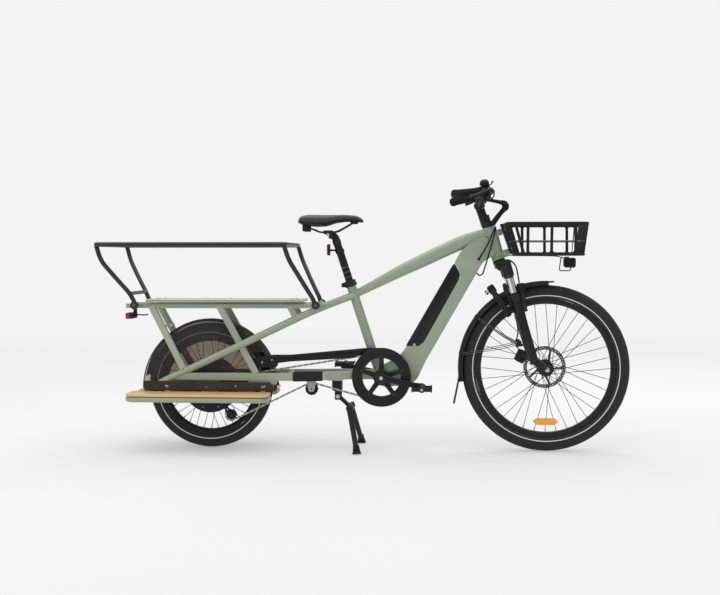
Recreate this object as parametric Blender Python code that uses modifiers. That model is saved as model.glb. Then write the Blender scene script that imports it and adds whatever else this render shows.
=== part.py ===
"""A long-tail electric cargo bicycle with a rear rack for passengers, in metres.

+X is forward, +Y is the rider's left and +Z is up. The origin is on the ground,
in the middle plane, half way along the bicycle. The drawing dimensions below
measure X from the rear axle; at() moves them to that origin.
"""

import math

import bmesh
import bpy
from mathutils import Matrix, Vector

MID_X = 0.63791  # half way along the bicycle, ahead of the rear axle
GAP = 0.0003  # clearance between neighbouring pieces

# Wheels
WHEELBASE = 1.366
FRONT_R = 0.335
FRONT_TYRE_W = 0.054
FRONT_RIM_IN = 0.259
REAR_R = 0.2565
REAR_TYRE_W = 0.053
REAR_RIM_IN = 0.181
SPOKE_COUNT = 36
SPOKE_R = 0.0010

# Steering axis: a point at the head tube's top and its forward lean
HEAD_TOP = (1.137, 0.903)
HEAD_LEAN = math.radians(16.6)
HEAD_LENGTH = 0.137
LEG_OFFSET = 0.018  # fork legs ahead of the steering axis
LEG_Y = 0.065
STANCHION_R = 0.0158
LOWER_R = 0.0185

# Crank and chain drive
CRANK = (0.706, 0.298)
CRANK_LENGTH = 0.168
CRANK_DROP = math.radians(11.5)
CHAIN_Y = -0.048
PITCH = 0.0127
RING_TEETH = 48
COG_TEETH = 11
IDLER_TEETH = 12
PULLEY_TEETH = 11
IDLER = (0.423, 0.249)
GUIDE = (0.046, 0.200)
TENSION = (0.092, 0.139)
CHAIN_W = 0.0055
CHAIN_H = 0.0085

# Frame
SEAT_AXIS_LOW = (0.6995, 0.298)
SEAT_AXIS_HIGH = (0.578, 0.669)
SEAT_POST_R = 0.0158
STAY_Y = 0.078
RAIL_Y = 0.062
RAIL_Z = 0.584
DECK_Z = 0.606
LOOP_Z = 0.832
LOOP_Y = 0.233
BOARD_TOP = 0.2385
BOARD_OUT = 0.205
BOARD_IN = 0.081

# Kickstand
STAND_PIVOT = (0.527, 0.216)
STAND_FOOT = (0.613, 0.1385)

LOCK_REACH = 0.320  # from the front axle to the middle of the wheel lock's ring
LOCK_RING = 0.070
LOCK_END = 140  # degrees from the top of the ring to the end of each arm
LOCK_KNOB = -24  # degrees, where the shackle's knob stands when it is open
TUBE_SIDES = 8

# Chainstay centre line behind the crank shell: the straight run, then its narrowing neck
STAY_RUN = ((0.335, -0.0780, 0.2995), (0.485, -0.0655, 0.3025))
STAY_NECK = (
    (0.480, -0.0658, 0.3025), (0.545, -0.0480, 0.3045), (0.605, -0.0320, 0.3045),
    (0.690, -0.0220, 0.3040)
)

# Handlebar clamp and the right grip's inner and outer ends
HANDLE_CLAMP = (1.098, 0.0, 0.990)
GRIP_IN = (1.086, -0.2185, 1.034)
GRIP_OUT = (0.997, -0.3010, 1.019)

# Saddle sections along its length
SADDLE_STATIONS = [
    # x, top z, bottom z, half width
    (0.366, 0.936, 0.921, 0.040), (0.378, 0.950, 0.914, 0.072), (0.405, 0.9555, 0.908, 0.085),
    (0.440, 0.9545, 0.905, 0.080), (0.480, 0.9530, 0.907, 0.058), (0.520, 0.9545, 0.920, 0.036),
    (0.560, 0.9560, 0.925, 0.025), (0.600, 0.9520, 0.924, 0.022), (0.622, 0.9420, 0.922, 0.018),
    (0.630, 0.9330, 0.924, 0.010),
]

# Basket rims: rear end, front end, height, half width
BASKET_TOP = (1.203, 1.514, 0.914, 0.160)
BASKET_LOW = (1.243, 1.499, 0.794, 0.146)

# Rear wheel covers
FENDER_R = 0.2740
FENDER_W = 0.064
SKIRT_R = 0.2700

PALETTE = {
    "sage": ((0.30, 0.36, 0.26), 0.42, 0.0),
    "black_metal": ((0.030, 0.030, 0.032), 0.45, 0.3),
    "black_plastic": ((0.028, 0.028, 0.030), 0.6, 0.0),
    "rubber": ((0.022, 0.022, 0.023), 0.85, 0.0),
    "steel": ((0.55, 0.55, 0.56), 0.3, 1.0),
    "wood": ((0.78, 0.56, 0.30), 0.55, 0.0),
    "smoke": ((0.05, 0.05, 0.05), 0.25, 0.0),
    "red": ((0.45, 0.02, 0.04), 0.3, 0.0),
}


def at(x, y, z):
    return Vector((x - MID_X, y, z))


def pitch_radius(teeth):
    return PITCH / (2 * math.sin(math.pi / teeth))


def head_point(down, forward=0.0, y=0.0):
    """A point this far down the steering axis from the head tube's top, and ahead of the axis."""
    s = math.sin(HEAD_LEAN)
    c = math.cos(HEAD_LEAN)
    return at(HEAD_TOP[0] + down * s + forward * c, y, HEAD_TOP[1] - down * c + forward * s)


def seat_point(z, forward=0.0):
    """A point of the seat tube's axis at this height."""
    slope = (SEAT_AXIS_HIGH[0] - SEAT_AXIS_LOW[0]) / (SEAT_AXIS_HIGH[1] - SEAT_AXIS_LOW[1])
    return at(SEAT_AXIS_LOW[0] + (z - SEAT_AXIS_LOW[1]) * slope + forward, 0, z)


# ---------------------------------------------------------------- scene set-up

for old in list(bpy.data.objects):
    bpy.data.objects.remove(old, do_unlink=True)

BIKE = bpy.data.collections.new("cargo_bicycle")
WORK = bpy.data.collections.new("cutters")
bpy.context.scene.collection.children.link(BIKE)
bpy.context.scene.collection.children.link(WORK)


def material(name, look):
    colour, rough, metal = PALETTE[look]
    made = bpy.data.materials.new(name)
    made.use_nodes = True
    shader = made.node_tree.nodes["Principled BSDF"]
    shader.inputs["Base Color"].default_value = (*colour, 1)
    shader.inputs["Roughness"].default_value = rough
    shader.inputs["Metallic"].default_value = metal
    made.diffuse_color = (*colour, 1)
    return made


# ---------------------------------------------------------------- shape helpers
# Each helper gives back a mesh object in the work collection, in world
# coordinates. finish() turns the last one of a piece into a named node.


def work_object(mesh):
    obj = bpy.data.objects.new("work", mesh)
    WORK.objects.link(obj)
    obj.hide_render = True
    obj.display_type = "WIRE"
    return obj


def from_bmesh(bm, matrix=None):
    if matrix is not None:
        bmesh.ops.transform(bm, matrix=matrix, verts=bm.verts)
    mesh = bpy.data.meshes.new("work")
    bm.to_mesh(mesh)
    bm.free()
    return work_object(mesh)


def to_mesh(obj):
    """The object with its modifiers or curve settings applied."""
    bpy.context.view_layer.update()
    graph = bpy.context.evaluated_depsgraph_get()
    mesh = bpy.data.meshes.new_from_object(obj.evaluated_get(graph))
    bm = bmesh.new()
    bm.from_mesh(mesh)
    bmesh.ops.remove_doubles(bm, verts=bm.verts, dist=1e-6)
    bm.to_mesh(mesh)
    bm.free()
    made = work_object(mesh)
    made.matrix_world = obj.matrix_world.copy()
    mesh.transform(made.matrix_world)
    made.matrix_world = Matrix.Identity(4)
    bpy.data.objects.remove(obj, do_unlink=True)
    return made


def facing(direction):
    """A rotation that turns +Z into this direction."""
    return Vector(direction).to_track_quat("Z", "Y").to_matrix().to_4x4()


def rod(start, end, radius, end_radius=None, sides=TUBE_SIDES):
    """A straight round bar or cone between two points."""
    line = end - start
    bm = bmesh.new()
    bmesh.ops.create_cone(
        bm, cap_ends=True, segments=sides, radius1=radius,
        radius2=radius if end_radius is None else end_radius, depth=line.length,
    )
    return from_bmesh(bm, Matrix.Translation((start + end) / 2) @ facing(line))


def disc(centre, radius, width, sides=TUBE_SIDES):
    """A round plate with its axis along Y."""
    half = Vector((0, width / 2, 0))
    return rod(centre - half, centre + half, radius, sides=sides)


def box(centre, size, lean=0.0, bevel=0.0, yaw=0.0):
    """A block, leaned about Y (a positive lean tips its top forward) after a yaw about Z."""
    bm = bmesh.new()
    bmesh.ops.create_cube(bm, size=1.0, matrix=Matrix.Diagonal((*size, 1)))
    if bevel:
        bmesh.ops.bevel(bm, geom=bm.edges[:], offset=bevel, segments=1, affect="EDGES")
    turn = Matrix.Rotation(lean, 4, "Y") @ Matrix.Rotation(yaw, 4, "Z")
    return from_bmesh(bm, Matrix.Translation(centre) @ turn)


def fillet(points, radius, steps=3):
    """The path with each inner corner rounded."""
    path = [points[0]]
    for before, corner, after in zip(points, points[1:], points[2:]):
        back = (before - corner).normalized()
        on = (after - corner).normalized()
        reach = min(radius, (before - corner).length * 0.45, (after - corner).length * 0.45)
        first = corner + back * reach
        last = corner + on * reach
        for i in range(steps + 1):
            t = i / steps
            path.append(first.lerp(corner, t).lerp(corner.lerp(last, t), t))
    path.append(points[-1])
    return path


def tube(points, radius, sides=TUBE_SIDES, closed=False, corner=0.0, steps=3):
    """A round tube along a path, as a bevelled curve."""
    path = fillet(points, corner, steps) if corner else points
    curve = bpy.data.curves.new("path", "CURVE")
    curve.dimensions = "3D"
    spline = curve.splines.new("POLY")
    spline.points.add(len(path) - 1)
    for point, place in zip(spline.points, path):
        point.co = (*place, 1)
    spline.use_cyclic_u = closed
    curve.bevel_depth = radius
    curve.bevel_resolution = (sides - 4) // 2
    curve.use_fill_caps = not closed
    obj = bpy.data.objects.new("path", curve)
    WORK.objects.link(obj)
    return to_mesh(obj)


def plate(outline, y, thickness):
    """A flat piece cut to an outline of (x, z) points, thickness along Y."""
    curve = bpy.data.curves.new("outline", "CURVE")
    curve.dimensions = "2D"
    curve.fill_mode = "BOTH"
    curve.extrude = thickness / 2
    spline = curve.splines.new("POLY")
    spline.points.add(len(outline) - 1)
    for point, (x, z) in zip(spline.points, outline):
        point.co = (x - MID_X, z, 0, 1)
    spline.use_cyclic_u = True
    obj = bpy.data.objects.new("outline", curve)
    WORK.objects.link(obj)
    obj.matrix_world = Matrix.Translation((0, y, 0)) @ Matrix.Rotation(math.pi / 2, 4, "X")
    return to_mesh(obj)


def turned(profile, centre, steps, start=0.0, sweep=2 * math.pi):
    """A turned shape about Y through the centre: profile points are (radius, y)."""
    mesh = bpy.data.meshes.new("profile")
    points = [(r, 0.0, y) for r, y in profile]
    edges = [(i, (i + 1) % len(points)) for i in range(len(points))]
    mesh.from_pydata(points, edges, [])
    obj = bpy.data.objects.new("profile", mesh)
    WORK.objects.link(obj)
    screw = obj.modifiers.new("Screw", "SCREW")
    screw.angle = sweep
    screw.steps = steps
    screw.render_steps = steps
    screw.use_merge_vertices = abs(sweep - 2 * math.pi) < 1e-6
    screw.merge_threshold = 0.00001
    made = to_mesh(obj)
    bm = bmesh.new()
    bm.from_mesh(made.data)
    ends = [e for e in bm.edges if e.is_boundary]
    if ends:
        bmesh.ops.holes_fill(bm, edges=ends, sides=0)
    bmesh.ops.recalc_face_normals(bm, faces=bm.faces)
    # The profile's axis is local Z: lay it along Y, and start the sweep at this angle.
    lay = Matrix.Rotation(-math.pi / 2, 4, "X")
    spin = Matrix.Rotation(-start, 4, "Y")
    bmesh.ops.transform(bm, matrix=Matrix.Translation(centre) @ spin @ lay, verts=bm.verts)
    bm.to_mesh(made.data)
    bm.free()
    return made


def lofted(rings):
    """A closed solid skinned over rings of points, each ring with the same count."""
    bm = bmesh.new()
    made = [[bm.verts.new(p) for p in ring] for ring in rings]
    count = len(rings[0])
    for low, high in zip(made, made[1:]):
        for i in range(count):
            j = (i + 1) % count
            bm.faces.new((low[i], low[j], high[j], high[i]))
    bm.faces.new(made[0][::-1])
    bm.faces.new(made[-1])
    bmesh.ops.recalc_face_normals(bm, faces=bm.faces)
    return from_bmesh(bm)


def oval_ring(centre, along, half_depth, half_width, sides=12):
    """Points of an oval section across a beam that runs along this direction in the middle plane."""
    along = along.normalized()
    up = Vector((-along.z, 0, along.x))
    ring = []
    for i in range(sides):
        a = 2 * math.pi * i / sides
        c = math.cos(a)
        s = math.sin(a)
        ring.append(centre + up * (half_depth * c) + Vector((0, half_width * s, 0)))
    return ring


def beam(stations, half_widths, sides=12):
    """A lofted beam from ((x, z), half depth) stations in the middle plane."""
    centres = [at(x, 0, z) for (x, z), _ in stations]
    rings = []
    for i, ((_, depth), width) in enumerate(zip(stations, half_widths)):
        along = centres[min(i + 1, len(centres) - 1)] - centres[max(i - 1, 0)]
        rings.append(oval_ring(centres[i], along, depth, width, sides))
    return lofted(rings)


def boolean(base, others, operation):
    """The base joined with, or cut by, the others, which are used up."""
    held = bpy.data.collections.new("operands")
    bpy.context.scene.collection.children.link(held)
    for other in others:
        WORK.objects.unlink(other)
        held.objects.link(other)
    modifier = base.modifiers.new("Boolean", "BOOLEAN")
    modifier.solver = "EXACT"
    modifier.operation = operation
    modifier.operand_type = "COLLECTION"
    modifier.collection = held
    made = to_mesh(base)
    for other in others:
        bpy.data.objects.remove(other, do_unlink=True)
    bpy.data.collections.remove(held)
    return made


def join(*pieces):
    return boolean(pieces[0], pieces[1:], "UNION")


def cut(base, *cutters):
    return boolean(base, cutters, "DIFFERENCE")


def mirrored(obj):
    """A copy of the work object on the other side of the middle plane."""
    bm = bmesh.new()
    bm.from_mesh(obj.data)
    bmesh.ops.scale(bm, vec=(1, -1, 1), verts=bm.verts)
    bmesh.ops.reverse_faces(bm, faces=bm.faces)
    return from_bmesh(bm)


def both(obj):
    return [obj, mirrored(obj)]


def finish(obj, name, look, crease=math.radians(35)):
    """The work object as a named piece with its own material."""
    obj.name = name
    obj.data.name = name
    WORK.objects.unlink(obj)
    BIKE.objects.link(obj)
    obj.hide_render = False
    obj.display_type = "TEXTURED"
    obj.data.materials.clear()
    obj.data.materials.append(material(name, look))
    obj.data.shade_smooth()
    obj.data.set_sharp_from_angle(angle=crease)
    return obj


def body(name, pivot, pieces, parent=None):
    """An empty on the joint's axis that carries the pieces of one moving body."""
    holder = bpy.data.objects.new("body_" + name, None)
    BIKE.objects.link(holder)
    holder.empty_display_size = 0.05
    holder.location = pivot if parent is None else pivot - Vector(parent["pivot"])
    holder.parent = parent
    # The pieces are drawn in world coordinates, so the carrier's place is taken off again.
    for piece in pieces:
        piece.parent = holder
        piece.matrix_parent_inverse = Matrix.Translation(-pivot)
    holder["pivot"] = pivot
    return holder


# ---------------------------------------------------------------- frame


def head_and_down_tube():
    """The head tube, the deep down tube with its head gusset, and the block round the crank."""
    head = rod(head_point(0), head_point(HEAD_LENGTH), 0.0275, 0.0255, 16)
    outline = [
        (0.789, 0.392), (0.905, 0.594), (1.001, 0.761), (1.023, 0.806), (1.062, 0.842),
        (1.120, 0.868), (1.150, 0.840), (1.166, 0.800), (1.150, 0.784), (1.113, 0.765),
        (1.081, 0.707), (0.878, 0.352), (0.849, 0.286), (0.812, 0.262), (0.700, 0.258),
        (0.668, 0.282), (0.672, 0.330), (0.730, 0.352),
    ]
    down = plate(outline, 0.0, 0.060)
    bevel = down.modifiers.new("Bevel", "BEVEL")
    bevel.width = 0.012
    bevel.segments = 1
    bevel.limit_method = "ANGLE"
    bevel.angle_limit = math.radians(50)
    shell = disc(at(CRANK[0], 0, CRANK[1]), 0.024, 0.073, 16)
    return head, to_mesh(down), shell


def top_tube():
    stations = [
        ((0.590, 0.628), 0.0150), ((0.700, 0.684), 0.0190), ((0.783, 0.727), 0.0235),
        ((0.870, 0.768), 0.0265), ((0.960, 0.811), 0.0275), ((1.050, 0.850), 0.0275),
        ((1.135, 0.874), 0.0250),
    ]
    return beam(stations, [0.016, 0.020, 0.024, 0.027, 0.028, 0.028, 0.024], 12)




def stay_run(places, half_width, half_height):
    """A length of rectangular stay through these places."""
    rings = []
    for place in places:
        centre = at(*place)
        rings.append([
            centre + Vector((0, y * half_width, z * half_height))
            for y, z in ((-1, -1), (1, -1), (1, 1), (-1, 1))
        ])
    return lofted(rings)


def along_run(share):
    start = Vector(STAY_RUN[0])
    return tuple(start.lerp(Vector(STAY_RUN[1]), share))


def make_stay_guard():
    """A soft sleeve round the right stay, under the chain."""
    outer = stay_run((along_run(0.10), along_run(0.90)), 0.0125, 0.0190)
    inner = stay_run((along_run(-0.10), along_run(1.10)), 0.0096 + GAP, 0.0162 + GAP)
    window = box(at(0.423, -0.0600, 0.276), (0.0440, 0.0130, 0.0220))
    return finish(cut(outer, inner, window), "stay_guard", "rubber")


def rear_triangle():
    """The long twin tubes, stays, struts and rack rails of one side, on the right."""
    parts = []
    upper = [
        at(0.592, -0.010, 0.628), at(0.50, -0.046, 0.594), at(0.40, -0.064, 0.552),
        at(0.122, -STAY_Y, 0.4195), at(-0.122, -STAY_Y, 0.3055), at(-0.300, -STAY_Y, 0.2160),
    ]
    under_board = box(at(-0.290, -STAY_Y, 0.2195), (0.180, 0.050, 0.040))
    parts.append(cut(tube(upper, 0.0148, sides=10, corner=0.05, steps=1), under_board))
    stay = plate([(-0.135, 0.3135), (0.345, 0.3155), (0.345, 0.2835), (-0.070, 0.2810)], 0, 0.020)
    stay.location.y = -STAY_Y
    parts.append(to_mesh(stay))
    parts.append(stay_run(STAY_RUN, 0.0096, 0.0162))
    parts.append(stay_run(STAY_NECK, 0.0094, 0.0170))
    for top, low in (((-0.233, 0.586), (-0.098, 0.330)), ((0.047, 0.586), (0.200, 0.312))):
        parts.append(rod(at(top[0], -RAIL_Y, top[1]), at(low[0], -STAY_Y, low[1]), 0.0140))
    parts.append(rod(at(0.336, -RAIL_Y, 0.586), at(0.362, -0.066, 0.536), 0.0135))
    rail = plate(
        [(-0.337, 0.5745), (0.400, 0.5755), (0.480, 0.5860), (0.480, 0.5950), (-0.337, 0.5935)], 0,
        0.018
    )
    rail.location.y = -RAIL_Y
    parts.append(to_mesh(rail))
    # Dropout plate with the axle's hole, the lower gusset and the footboard's brackets.
    drop = [
        (-0.045, 0.300), (0.055, 0.300), (0.045, 0.248), (0.018, 0.232), (-0.018, 0.232),
        (-0.040, 0.250)
    ]
    parts.append(plate(drop, -STAY_Y + 0.0029, 0.0072))
    parts.append(
        plate([(0.166, 0.290), (0.290, 0.290), (0.280, 0.267), (0.170, 0.275)], -STAY_Y, 0.0163)
    )
    for x in (-0.165, 0.238):
        parts.append(box(at(x, -STAY_Y, 0.272), (0.024, 0.0172, 0.040)))
    parts.append(
        plate([(-0.190, 0.300), (-0.135, 0.325), (-0.120, 0.270), (-0.180, 0.262)], -STAY_Y, 0.0141)
    )
    return parts


def cross_members():
    """Bridges between the two sides, ahead of and above the rear wheel."""
    parts = [
        rod(at(-0.322, -RAIL_Y, RAIL_Z), at(-0.322, RAIL_Y, RAIL_Z), 0.009),
        rod(at(0.395, -RAIL_Y, 0.585), at(0.395, RAIL_Y, 0.585), 0.009),
        rod(at(0.066, -RAIL_Y, 0.586), at(0.066, RAIL_Y, 0.586), 0.009),
        rod(at(0.330, -STAY_Y, 0.302), at(0.330, STAY_Y, 0.302), 0.012),
        rod(at(0.320, -0.070, 0.517), at(0.320, 0.070, 0.517), 0.011),
        box(at(0.520, 0, 0.287), (0.060, 0.120, 0.008)),
    ]
    for side in (-1, 1):
        # Sockets on the rack for the passenger rail's four feet.
        parts.append(rod(at(-0.288, side * RAIL_Y, 0.584), at(-0.288, side * 0.1022, 0.588), 0.011))
        parts.append(rod(at(0.447, side * RAIL_Y, 0.588), at(0.447, side * 0.098, 0.590), 0.012))
    return parts


def seat_tube():
    return rod(seat_point(0.300), seat_point(0.683), 0.0190, sides=14)


def make_frame():
    head, down, shell = head_and_down_tube()
    parts = [down, head, top_tube(), seat_tube(), shell]
    for piece in rear_triangle():
        parts += both(piece)
    parts += cross_members()
    lug = box(at(1.196, 0, 0.796), (0.044, 0.034, 0.030), lean=-HEAD_LEAN)
    upper_lug = box(at(1.172, 0, 0.880), (0.034, 0.030, 0.026), lean=-HEAD_LEAN)
    idler_arm = plate(
        [(0.402, 0.2865), (0.444, 0.2865), (0.433, 0.238), (0.413, 0.238)], -0.0625, 0.006
    )
    solid = join(*parts, lug, upper_lug, idler_arm)
    seat_bore = rod(seat_point(0.420), seat_point(0.700), SEAT_POST_R + GAP, sides=14)
    head_bore = rod(head_point(-0.01), head_point(HEAD_LENGTH + 0.01), 0.0195, sides=14)
    shell_bore = disc(at(CRANK[0], 0, CRANK[1]), 0.0175, 0.090, 14)
    pocket_line = [
        (0.770, 0.4232), (0.8562, 0.4232), (0.8765, 0.4398), (1.0155, 0.6908),
        (1.0215, 0.7162), (0.9985, 0.7592), (0.9740, 0.7680),
    ]
    pocket = plate(pocket_line, 0, 0.080)
    axle_hole = disc(at(0, 0, REAR_R), 0.0068, 0.30, 12)
    idler_hole = disc(at(IDLER[0], -0.06, IDLER[1]), 0.0040, 0.03, 8)
    return finish(
        cut(solid, seat_bore, head_bore, shell_bore, pocket, axle_hole, idler_hole), "main_frame",
        "sage"
    )


def make_battery():
    outline = [
        (0.8120, 0.4240), (0.8555, 0.4240), (0.8757, 0.4403), (1.0145, 0.6910),
        (1.0205, 0.7160), (0.9985, 0.7570), (0.9900, 0.7480), (0.8040, 0.4240),
    ]
    solid = plate(outline, 0, 0.0615)
    bevel = solid.modifiers.new("Bevel", "BEVEL")
    bevel.width = 0.006
    bevel.segments = 1
    bevel.limit_method = "ANGLE"
    bevel.angle_limit = math.radians(50)
    return finish(to_mesh(solid), "battery", "black_plastic")


def make_rack():
    """The deck, its passengers' rail, footboards, lights and guards on the frame."""
    made = []
    deck = box(at(0.071, 0, DECK_Z), (0.644, 0.172, 0.0105), bevel=0.003)
    made.append(finish(deck, "rack_deck", "wood"))
    made.append(make_passenger_rail())
    for side, tag in ((1, "R"), (-1, "L")):
        board = box(
            at(-0.0230, -(BOARD_OUT + BOARD_IN) / 2, BOARD_TOP - 0.0045),
            (0.572, BOARD_OUT - BOARD_IN, 0.009), bevel=0.0025
        )
        loop = [
            at(-0.160, -0.0925, 0.2165), at(-0.304, -0.0925, 0.2165), at(-0.304, -0.194, 0.2165),
            at(0.253, -0.194, 0.2165), at(0.253, -0.0925, 0.2165), at(0.229, -0.0925, 0.2165),
        ]
        rail = tube(loop, 0.0110, sides=8, corner=0.035, steps=2)
        feet = [box(at(x, -0.0925, 0.242), (0.020, 0.008, 0.048)) for x in (-0.160, 0.229)]
        tie = rod(at(0.030, -0.190, 0.2165), at(0.030, -0.0925, 0.2165), 0.0085, sides=6)
        inner = tube([at(-0.160, -0.0925, 0.2165), at(0.229, -0.0925, 0.2165)], 0.0085, sides=6)
        frame = join(rail, inner, tie, *feet)
        slots = [box(at(x, -0.0925, 0.250), (0.0206, 0.0092, 0.062)) for x in (-0.160, 0.229)]
        board = cut(board, *slots)
        if side < 0:
            board = swap(board)
            frame = swap(frame)
        made.append(finish(board, "footboard_" + tag, "wood"))
        made.append(finish(frame, "footboard_frame_" + tag, "sage"))
    return made


def swap(obj):
    """The mirrored piece in place of the piece."""
    made = mirrored(obj)
    bpy.data.objects.remove(obj, do_unlink=True)
    return made


def make_passenger_rail():
    r = 0.0092
    loop = [
        at(-0.416, -LOOP_Y, LOOP_Z), at(0.336, -LOOP_Y, LOOP_Z),
        at(0.336, LOOP_Y, LOOP_Z), at(-0.416, LOOP_Y, LOOP_Z),
    ]
    turned_loop = []
    for i, corner in enumerate(loop):
        path = fillet([loop[i - 1], corner, loop[(i + 1) % 4]], 0.035, 3)
        turned_loop += path[1:-1]
    parts = [tube(turned_loop, r, sides=8, closed=True)]
    rear = [
        at(-0.412, -0.216, LOOP_Z - 0.004), at(-0.395, -0.212, 0.768), at(-0.350, -0.165, 0.700),
        at(-0.305, -0.122, 0.636), at(-0.288, -0.1155, 0.600), at(-0.288, -0.1155, 0.578),
    ]
    front = [
        at(0.334, -0.219, LOOP_Z - 0.003), at(0.352, -0.214, 0.772), at(0.400, -0.150, 0.680),
        at(0.436, -0.113, 0.615), at(0.447, -0.1100, 0.580),
    ]
    parts += both(tube(rear, r, sides=8, corner=0.03, steps=1))
    parts += both(tube(front, r, sides=8, corner=0.03, steps=1))
    parts.append(rod(at(-0.303, -0.118, 0.636), at(-0.303, 0.118, 0.636), 0.007, sides=8))
    for x, z in ((-0.288, 0.588), (0.447, 0.590)):
        parts += both(disc(at(x, -0.1145, z), 0.0165, 0.019, 14))
    return finish(join(*parts), "passenger_rail", "black_metal")


# ---------------------------------------------------------------- wheels


def arc_profile(radius, width, thick, depth, count=4):
    """The section of a mudguard: a shallow channel whose crown is at this radius."""
    outer = []
    for i in range(count):
        y = (2 * i / (count - 1) - 1) * width / 2
        outer.append((radius - depth * (2 * y / width) ** 2, y))
    inner = [(r - thick, y * (1 - 2 * thick / width)) for r, y in outer]
    return outer + inner[::-1]


def make_tyre(name, x, radius, width, rim_outer, steps):
    centre = at(x, 0, radius)
    h = width / 2
    outside = [
        (rim_outer, -h * 0.62), (radius - 0.027, -h), (radius - 0.0085, -h * 0.76), (radius, -h * 0.22),
        (radius, h * 0.22), (radius - 0.0085, h * 0.76), (radius - 0.027, h), (rim_outer, h * 0.62),
    ]
    return finish(turned(outside, centre, steps), name, "rubber")


def make_rim(name, x, axle_z, rim_in, rim_outer, width, steps):
    h = width / 2
    section = [
        (rim_in, -h * 0.50), (rim_in + 0.010, -h), (rim_outer, -h), (rim_outer, h),
        (rim_in + 0.010, h), (rim_in, h * 0.50),
    ]
    return finish(turned(section, at(x, 0, axle_z), steps), name, "black_metal")


def spokes(x, axle_z, flange_r, flange_y, rim_in, count, cross):
    """Crossed spokes from the two flanges to just short of the rim."""
    made = []
    for i in range(count):
        side = 1 if i % 2 else -1
        a = 2 * math.pi * i / count
        trailing = (i // 2) % 2
        lead = cross if trailing else -cross
        y = side * (flange_y + (0.0021 if trailing else -0.0021))
        foot = at(x + flange_r * math.cos(a + lead), y, axle_z + flange_r * math.sin(a + lead))
        tip_r = rim_in - 0.0013
        tip = at(x + tip_r * math.cos(a), side * 0.002, axle_z + tip_r * math.sin(a))
        made.append(rod(foot, tip, SPOKE_R, sides=3))
    return made


def make_front_wheel():
    x = WHEELBASE
    centre = at(x, 0, FRONT_R)
    rim_outer = 0.2815
    made = [
        make_tyre("front_tyre", x, FRONT_R, FRONT_TYRE_W, rim_outer + 0.0006, 40),
        make_rim("front_rim", x, FRONT_R, FRONT_RIM_IN, rim_outer, 0.030, 40),
    ]
    section = [
        (0.0063, -0.0455), (0.0130, -0.0455), (0.0150, -0.0370), (0.0310, -0.0340), (0.0310, -0.0262),
        (0.0170, -0.0230), (0.0170, 0.0230), (0.0310, 0.0262), (0.0310, 0.0340), (0.0220, 0.0372),
        (0.0130, 0.0378), (0.0130, 0.0455), (0.0063, 0.0455),
    ]
    hub = turned(section, centre, 12)
    hub = join(hub, *spokes(x, FRONT_R, 0.028, 0.0300, FRONT_RIM_IN, SPOKE_COUNT, 0.9))
    made.append(finish(hub, "front_hub", "black_metal"))
    made.append(make_rotor("front_disc", centre, 0.0392))
    return made


def make_rotor(name, centre, y, inner=0.0140, outer=0.086):
    """A brake disc on the left of the wheel: a ring on five arms."""
    ring = turned(
        [(outer - 0.014, -0.0011), (outer, -0.0011), (outer, 0.0011), (outer - 0.014, 0.0011)],
        centre + Vector((0, y, 0)), 24
    )
    core = turned(
        [(inner, -0.0011), (0.030, -0.0011), (0.030, 0.0011), (inner, 0.0011)],
        centre + Vector((0, y, 0)), 12
    )
    arms = []
    for i in range(5):
        a = 2 * math.pi * i / 5
        b = a + 0.35
        start = centre + Vector((0.026 * math.cos(a), y, 0.026 * math.sin(a)))
        end = centre + Vector(((outer - 0.008) * math.cos(b), y, (outer - 0.008) * math.sin(b)))
        mid = (start + end) / 2
        line = end - start
        arm = box(Vector((0, 0, 0)), (line.length, 0.0018, 0.007))
        arm.data.transform(
            Matrix.Translation(mid) @ Matrix.Rotation(-math.atan2(line.z, line.x), 4, "Y")
        )
        arms.append(arm)
    return finish(join(ring, core, *arms), name, "steel")


def make_rear_wheel():
    centre = at(0, 0, REAR_R)
    rim_outer = 0.2030
    made = [
        make_tyre("rear_tyre", 0, REAR_R, REAR_TYRE_W, rim_outer + 0.0006, 36),
        make_rim("rear_rim", 0, REAR_R, REAR_RIM_IN, rim_outer, 0.032, 36),
    ]
    section = [
        (0.0078, -0.0300), (0.0240, -0.0300), (0.1060, -0.0265), (0.1130, -0.0235),
        (0.1130, -0.0125), (0.1000, -0.0080), (0.1000, 0.0080), (0.1130, 0.0125), (0.1130, 0.0235),
        (0.1040, 0.0280), (0.0240, 0.0310), (0.0240, 0.0470), (0.0078, 0.0470),
    ]
    hub = turned(section, centre, 18)
    hub = join(hub, *spokes(0, REAR_R, 0.110, 0.0185, REAR_RIM_IN, SPOKE_COUNT, 0.22))
    made.append(finish(hub, "rear_hub_motor", "black_metal"))
    made.append(make_rotor("rear_disc", centre, 0.0455, inner=0.0262))
    return made


def make_cassette():
    """Sprockets stepping down from the wheel to the small one that carries the chain."""
    root = pitch_radius(COG_TEETH) - CHAIN_H / 2 - GAP
    section = [(0.0092, -0.0315), (0.0092, -0.0520), (root, -0.0520), (root, -0.0440)]
    for i, radius in enumerate((0.0245, 0.0300, 0.0370, 0.0450)):
        y = -0.0438 + i * 0.0024
        section += [(radius, y), (radius, y + 0.0022)]
    section += [(0.0300, -0.0315)]
    return finish(turned(section, at(0, 0, REAR_R), 16), "cassette", "steel")


def make_rear_axle():
    """The wheel's fixed axle with its end nuts."""
    centre = at(0, 0, REAR_R)
    section = [(0.005, -0.102), (0.0065, -0.096), (0.0110, -0.096), (0.0110, -0.0790 - GAP),
               (0.0065, -0.0790 - GAP), (0.0065, 0.0790 + GAP), (0.0110, 0.0790 + GAP), (0.0110, 0.096),
               (0.0065, 0.096), (0.005, 0.102)]
    axle = turned([(0.0004, -0.102)] + section + [(0.0004, 0.102)], centre, 8)
    return finish(join(axle, disc(centre, 0.0030, 0.200, 6)), "rear_axle", "steel")


# ---------------------------------------------------------------- fork and cockpit


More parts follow.
